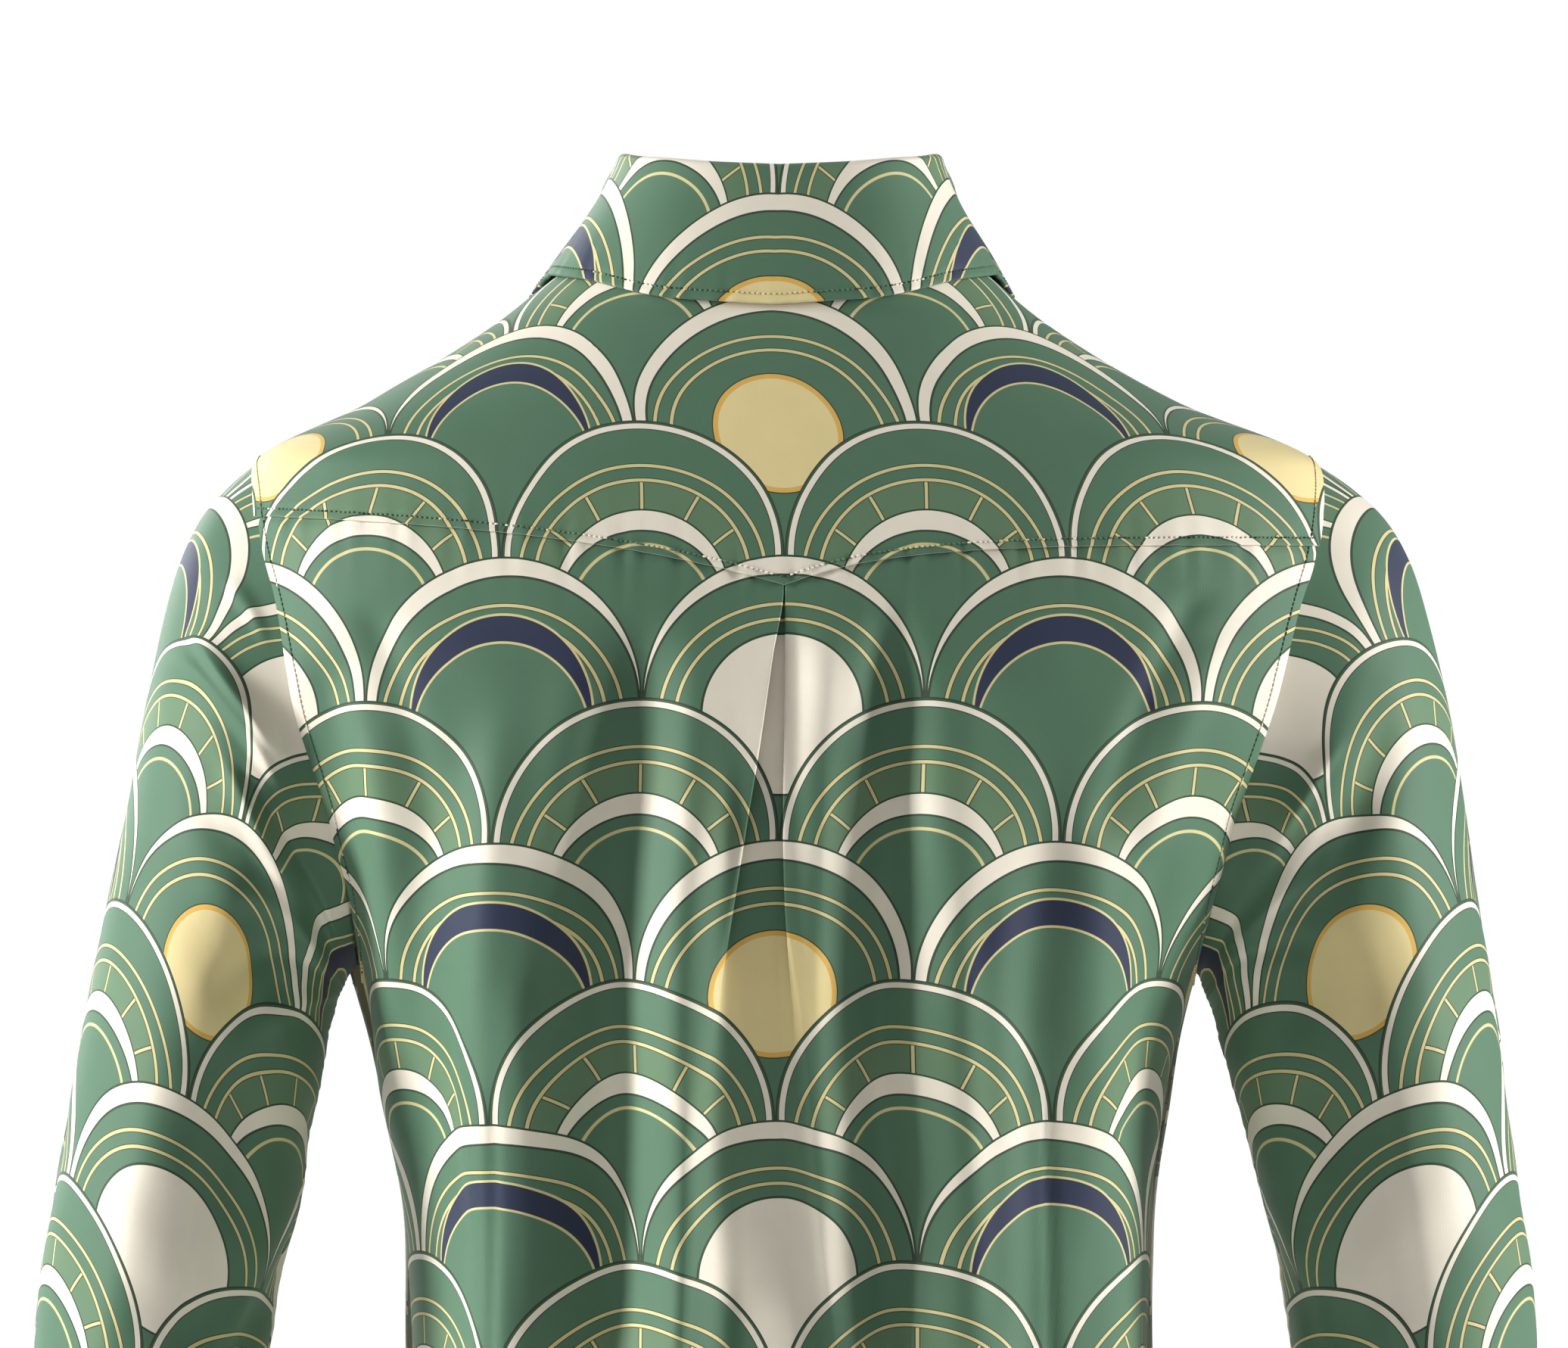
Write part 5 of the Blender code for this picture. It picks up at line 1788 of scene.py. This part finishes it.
class GOLFSHIRT_OT_placket(PieceOperator, bpy.types.Operator):
    """Make the two strips of the front opening"""

    bl_idname = "golf_shirt.make_placket"
    bl_label = "Placket"

    def execute(self, context):
        over_foot = slit_foot() - PLACKET_OVER_LONGER
        under_foot = slit_foot() + PLACKET_UNDER_SHORTER
        under_half = PLACKET_HALF_WIDTH - PLACKET_UNDER_NARROWER
        for node, out, half_width, foot in (
            ("placket_over", PLACKET_OUT, PLACKET_HALF_WIDTH, over_foot),
            ("placket_under", -PLACKET_OUT, under_half, under_foot),
        ):
            points, uv = placket_grid(out, half_width, foot)
            piece = cloth_piece(
                f"{node}_cloth", points, uv, turned=True, thick=PLACKET_WALL, lined=True)
            declare(piece, node)
        return {"FINISHED"}


class GOLFSHIRT_OT_stitching(PieceOperator, bpy.types.Operator):
    """Sew the visible seams"""

    bl_idname = "golf_shirt.sew_seams"
    bl_label = "Stitching"

    def execute(self, context):
        body = ["back_cloth", "yoke_cloth", "front_cloth"]
        stitches("yoke_stitching", [yoke_stitch_path()], ["yoke_cloth"])
        stitches("shoulder_stitching", [shoulder_stitch_path(side) for side in (-1, 1)],
                 ["yoke_cloth"])
        stitches("hem_stitching", [hem_stitch_path()], ["back_cloth", "front_cloth"])
        stitches("collar_stitching", collar_stitch_paths(), ["collar_leaf_cloth"])
        stitches("placket_stitching", placket_stitch_paths(), ["placket_over_cloth"])
        for side, word in ((1, "left"), (-1, "right")):
            stitches(f"{word}_armhole_stitching", [armhole_stitch_path(side)], body)
            stitches(f"{word}_cuff_stitching", [cuff_stitch_path(side)],
                     [f"{word}_sleeve_cloth"])
        return {"FINISHED"}


class GOLFSHIRT_OT_buttons(PieceOperator, bpy.types.Operator):
    """Make the three buttons and their worked buttonholes"""

    bl_idname = "golf_shirt.make_buttons"
    bl_label = "Buttons"

    def execute(self, context):
        for number, middle, outward, up in button_places():
            button_piece(number, middle, outward)
            on, along = "placket_over_cloth", np.array([0.0, 0.0, 1.0])
            if up is not None:
                on, along = "collar_stand_cloth", np.array([1.0, 0.0, 0.0])
            stitches(f"buttonhole_{number}", [buttonhole_path(middle, along)], [on],
                     length=0.7, radius=0.3, pitch=0.55)
        return {"FINISHED"}


class GOLFSHIRT_OT_stage(PieceOperator, bpy.types.Operator):
    """Set the floor, the lights and the camera"""

    bl_idname = "golf_shirt.set_stage"
    bl_label = "Stage"

    def execute(self, context):
        floor_mesh = bpy.data.meshes.new("floor")
        floor_mesh.from_pydata(
            [(x * FLOOR_REACH, y * FLOOR_REACH, FLOOR_LEVEL) for x, y in CORNERS],
            [], [(0, 1, 2, 3)])
        paint, shader = principled(
            "floor_paint", Base_Color=(*settings().floor, 1), Roughness=0.8,
            Emission_Color=(1, 1, 1, 1))
        s = Sums(paint.node_tree)
        s.give(shader.inputs["Emission Strength"], s.mul(
            s.node("ShaderNodeLightPath").outputs["Is Camera Ray"], FLOOR_SEEN))
        new_piece("floor", floor_mesh, paint)
        world = bpy.data.worlds.new("studio")
        world.use_nodes = True
        s = Sums(world.node_tree)
        sky = world.node_tree.nodes["Background"]
        sky.inputs["Color"].default_value = (1, 1, 1, 1)
        s.give(sky.inputs["Strength"], s.pick(
            s.node("ShaderNodeLightPath").outputs["Is Camera Ray"], SKY_LIGHT, SKY_SEEN))
        context.scene.world = world
        context.scene.view_settings.view_transform = "Standard"
        for name, place, size, power in LIGHTS:
            light = bpy.data.lights.new(name, "AREA")
            light.shape = "RECTANGLE"
            light.size, light.size_y = size
            light.energy = power
            lamp = bpy.data.objects.new(name, light)
            lamp.location = place
            aim = Vector(LIGHT_AIM) - Vector(place)
            lamp.rotation_euler = aim.to_track_quat("-Z", "Y").to_euler()
            context.scene.collection.objects.link(lamp)
        camera = bpy.data.cameras.new("camera")
        camera.sensor_width = FILM_WIDTH
        camera.lens = FILM_WIDTH * CAMERA_DISTANCE / FRAME_WIDTH
        stand = bpy.data.objects.new("camera", camera)
        stand.location = (0.0, CAMERA_DISTANCE, CAMERA_HEIGHT)
        stand.rotation_euler = (math.radians(90), 0.0, math.radians(180))
        context.scene.collection.objects.link(stand)
        context.scene.camera = stand
        return {"FINISHED"}


OPERATORS = (
    GOLFSHIRT_OT_back, GOLFSHIRT_OT_yoke, GOLFSHIRT_OT_front, GOLFSHIRT_OT_sleeves,
    GOLFSHIRT_OT_collar, GOLFSHIRT_OT_placket, GOLFSHIRT_OT_stitching, GOLFSHIRT_OT_buttons,
    GOLFSHIRT_OT_stage,
)


class GOLFSHIRT_PT_panel(bpy.types.Panel):
    """Lists the shirt's settings and the pieces to build"""

    bl_idname = "GOLFSHIRT_PT_panel"
    bl_label = "Golf shirt"
    bl_space_type = "VIEW_3D"
    bl_region_type = "UI"
    bl_category = "Golf shirt"

    def draw(self, context):
        for name in GolfShirtSettings.__annotations__:
            self.layout.prop(context.scene.golf_shirt, name)
        for operator in OPERATORS:
            self.layout.operator(operator.bl_idname)


def register():
    for kind in (GolfShirtSettings, *OPERATORS, GOLFSHIRT_PT_panel):
        bpy.utils.register_class(kind)
    bpy.types.Scene.golf_shirt = PointerProperty(type=GolfShirtSettings)


def unregister():
    del bpy.types.Scene.golf_shirt
    for kind in reversed((GolfShirtSettings, *OPERATORS, GOLFSHIRT_PT_panel)):
        bpy.utils.unregister_class(kind)


def main():
    register()
    for operator in OPERATORS:
        space, call = operator.bl_idname.split(".")
        getattr(getattr(bpy.ops, space), call)()


if __name__ == "__main__":
    main()
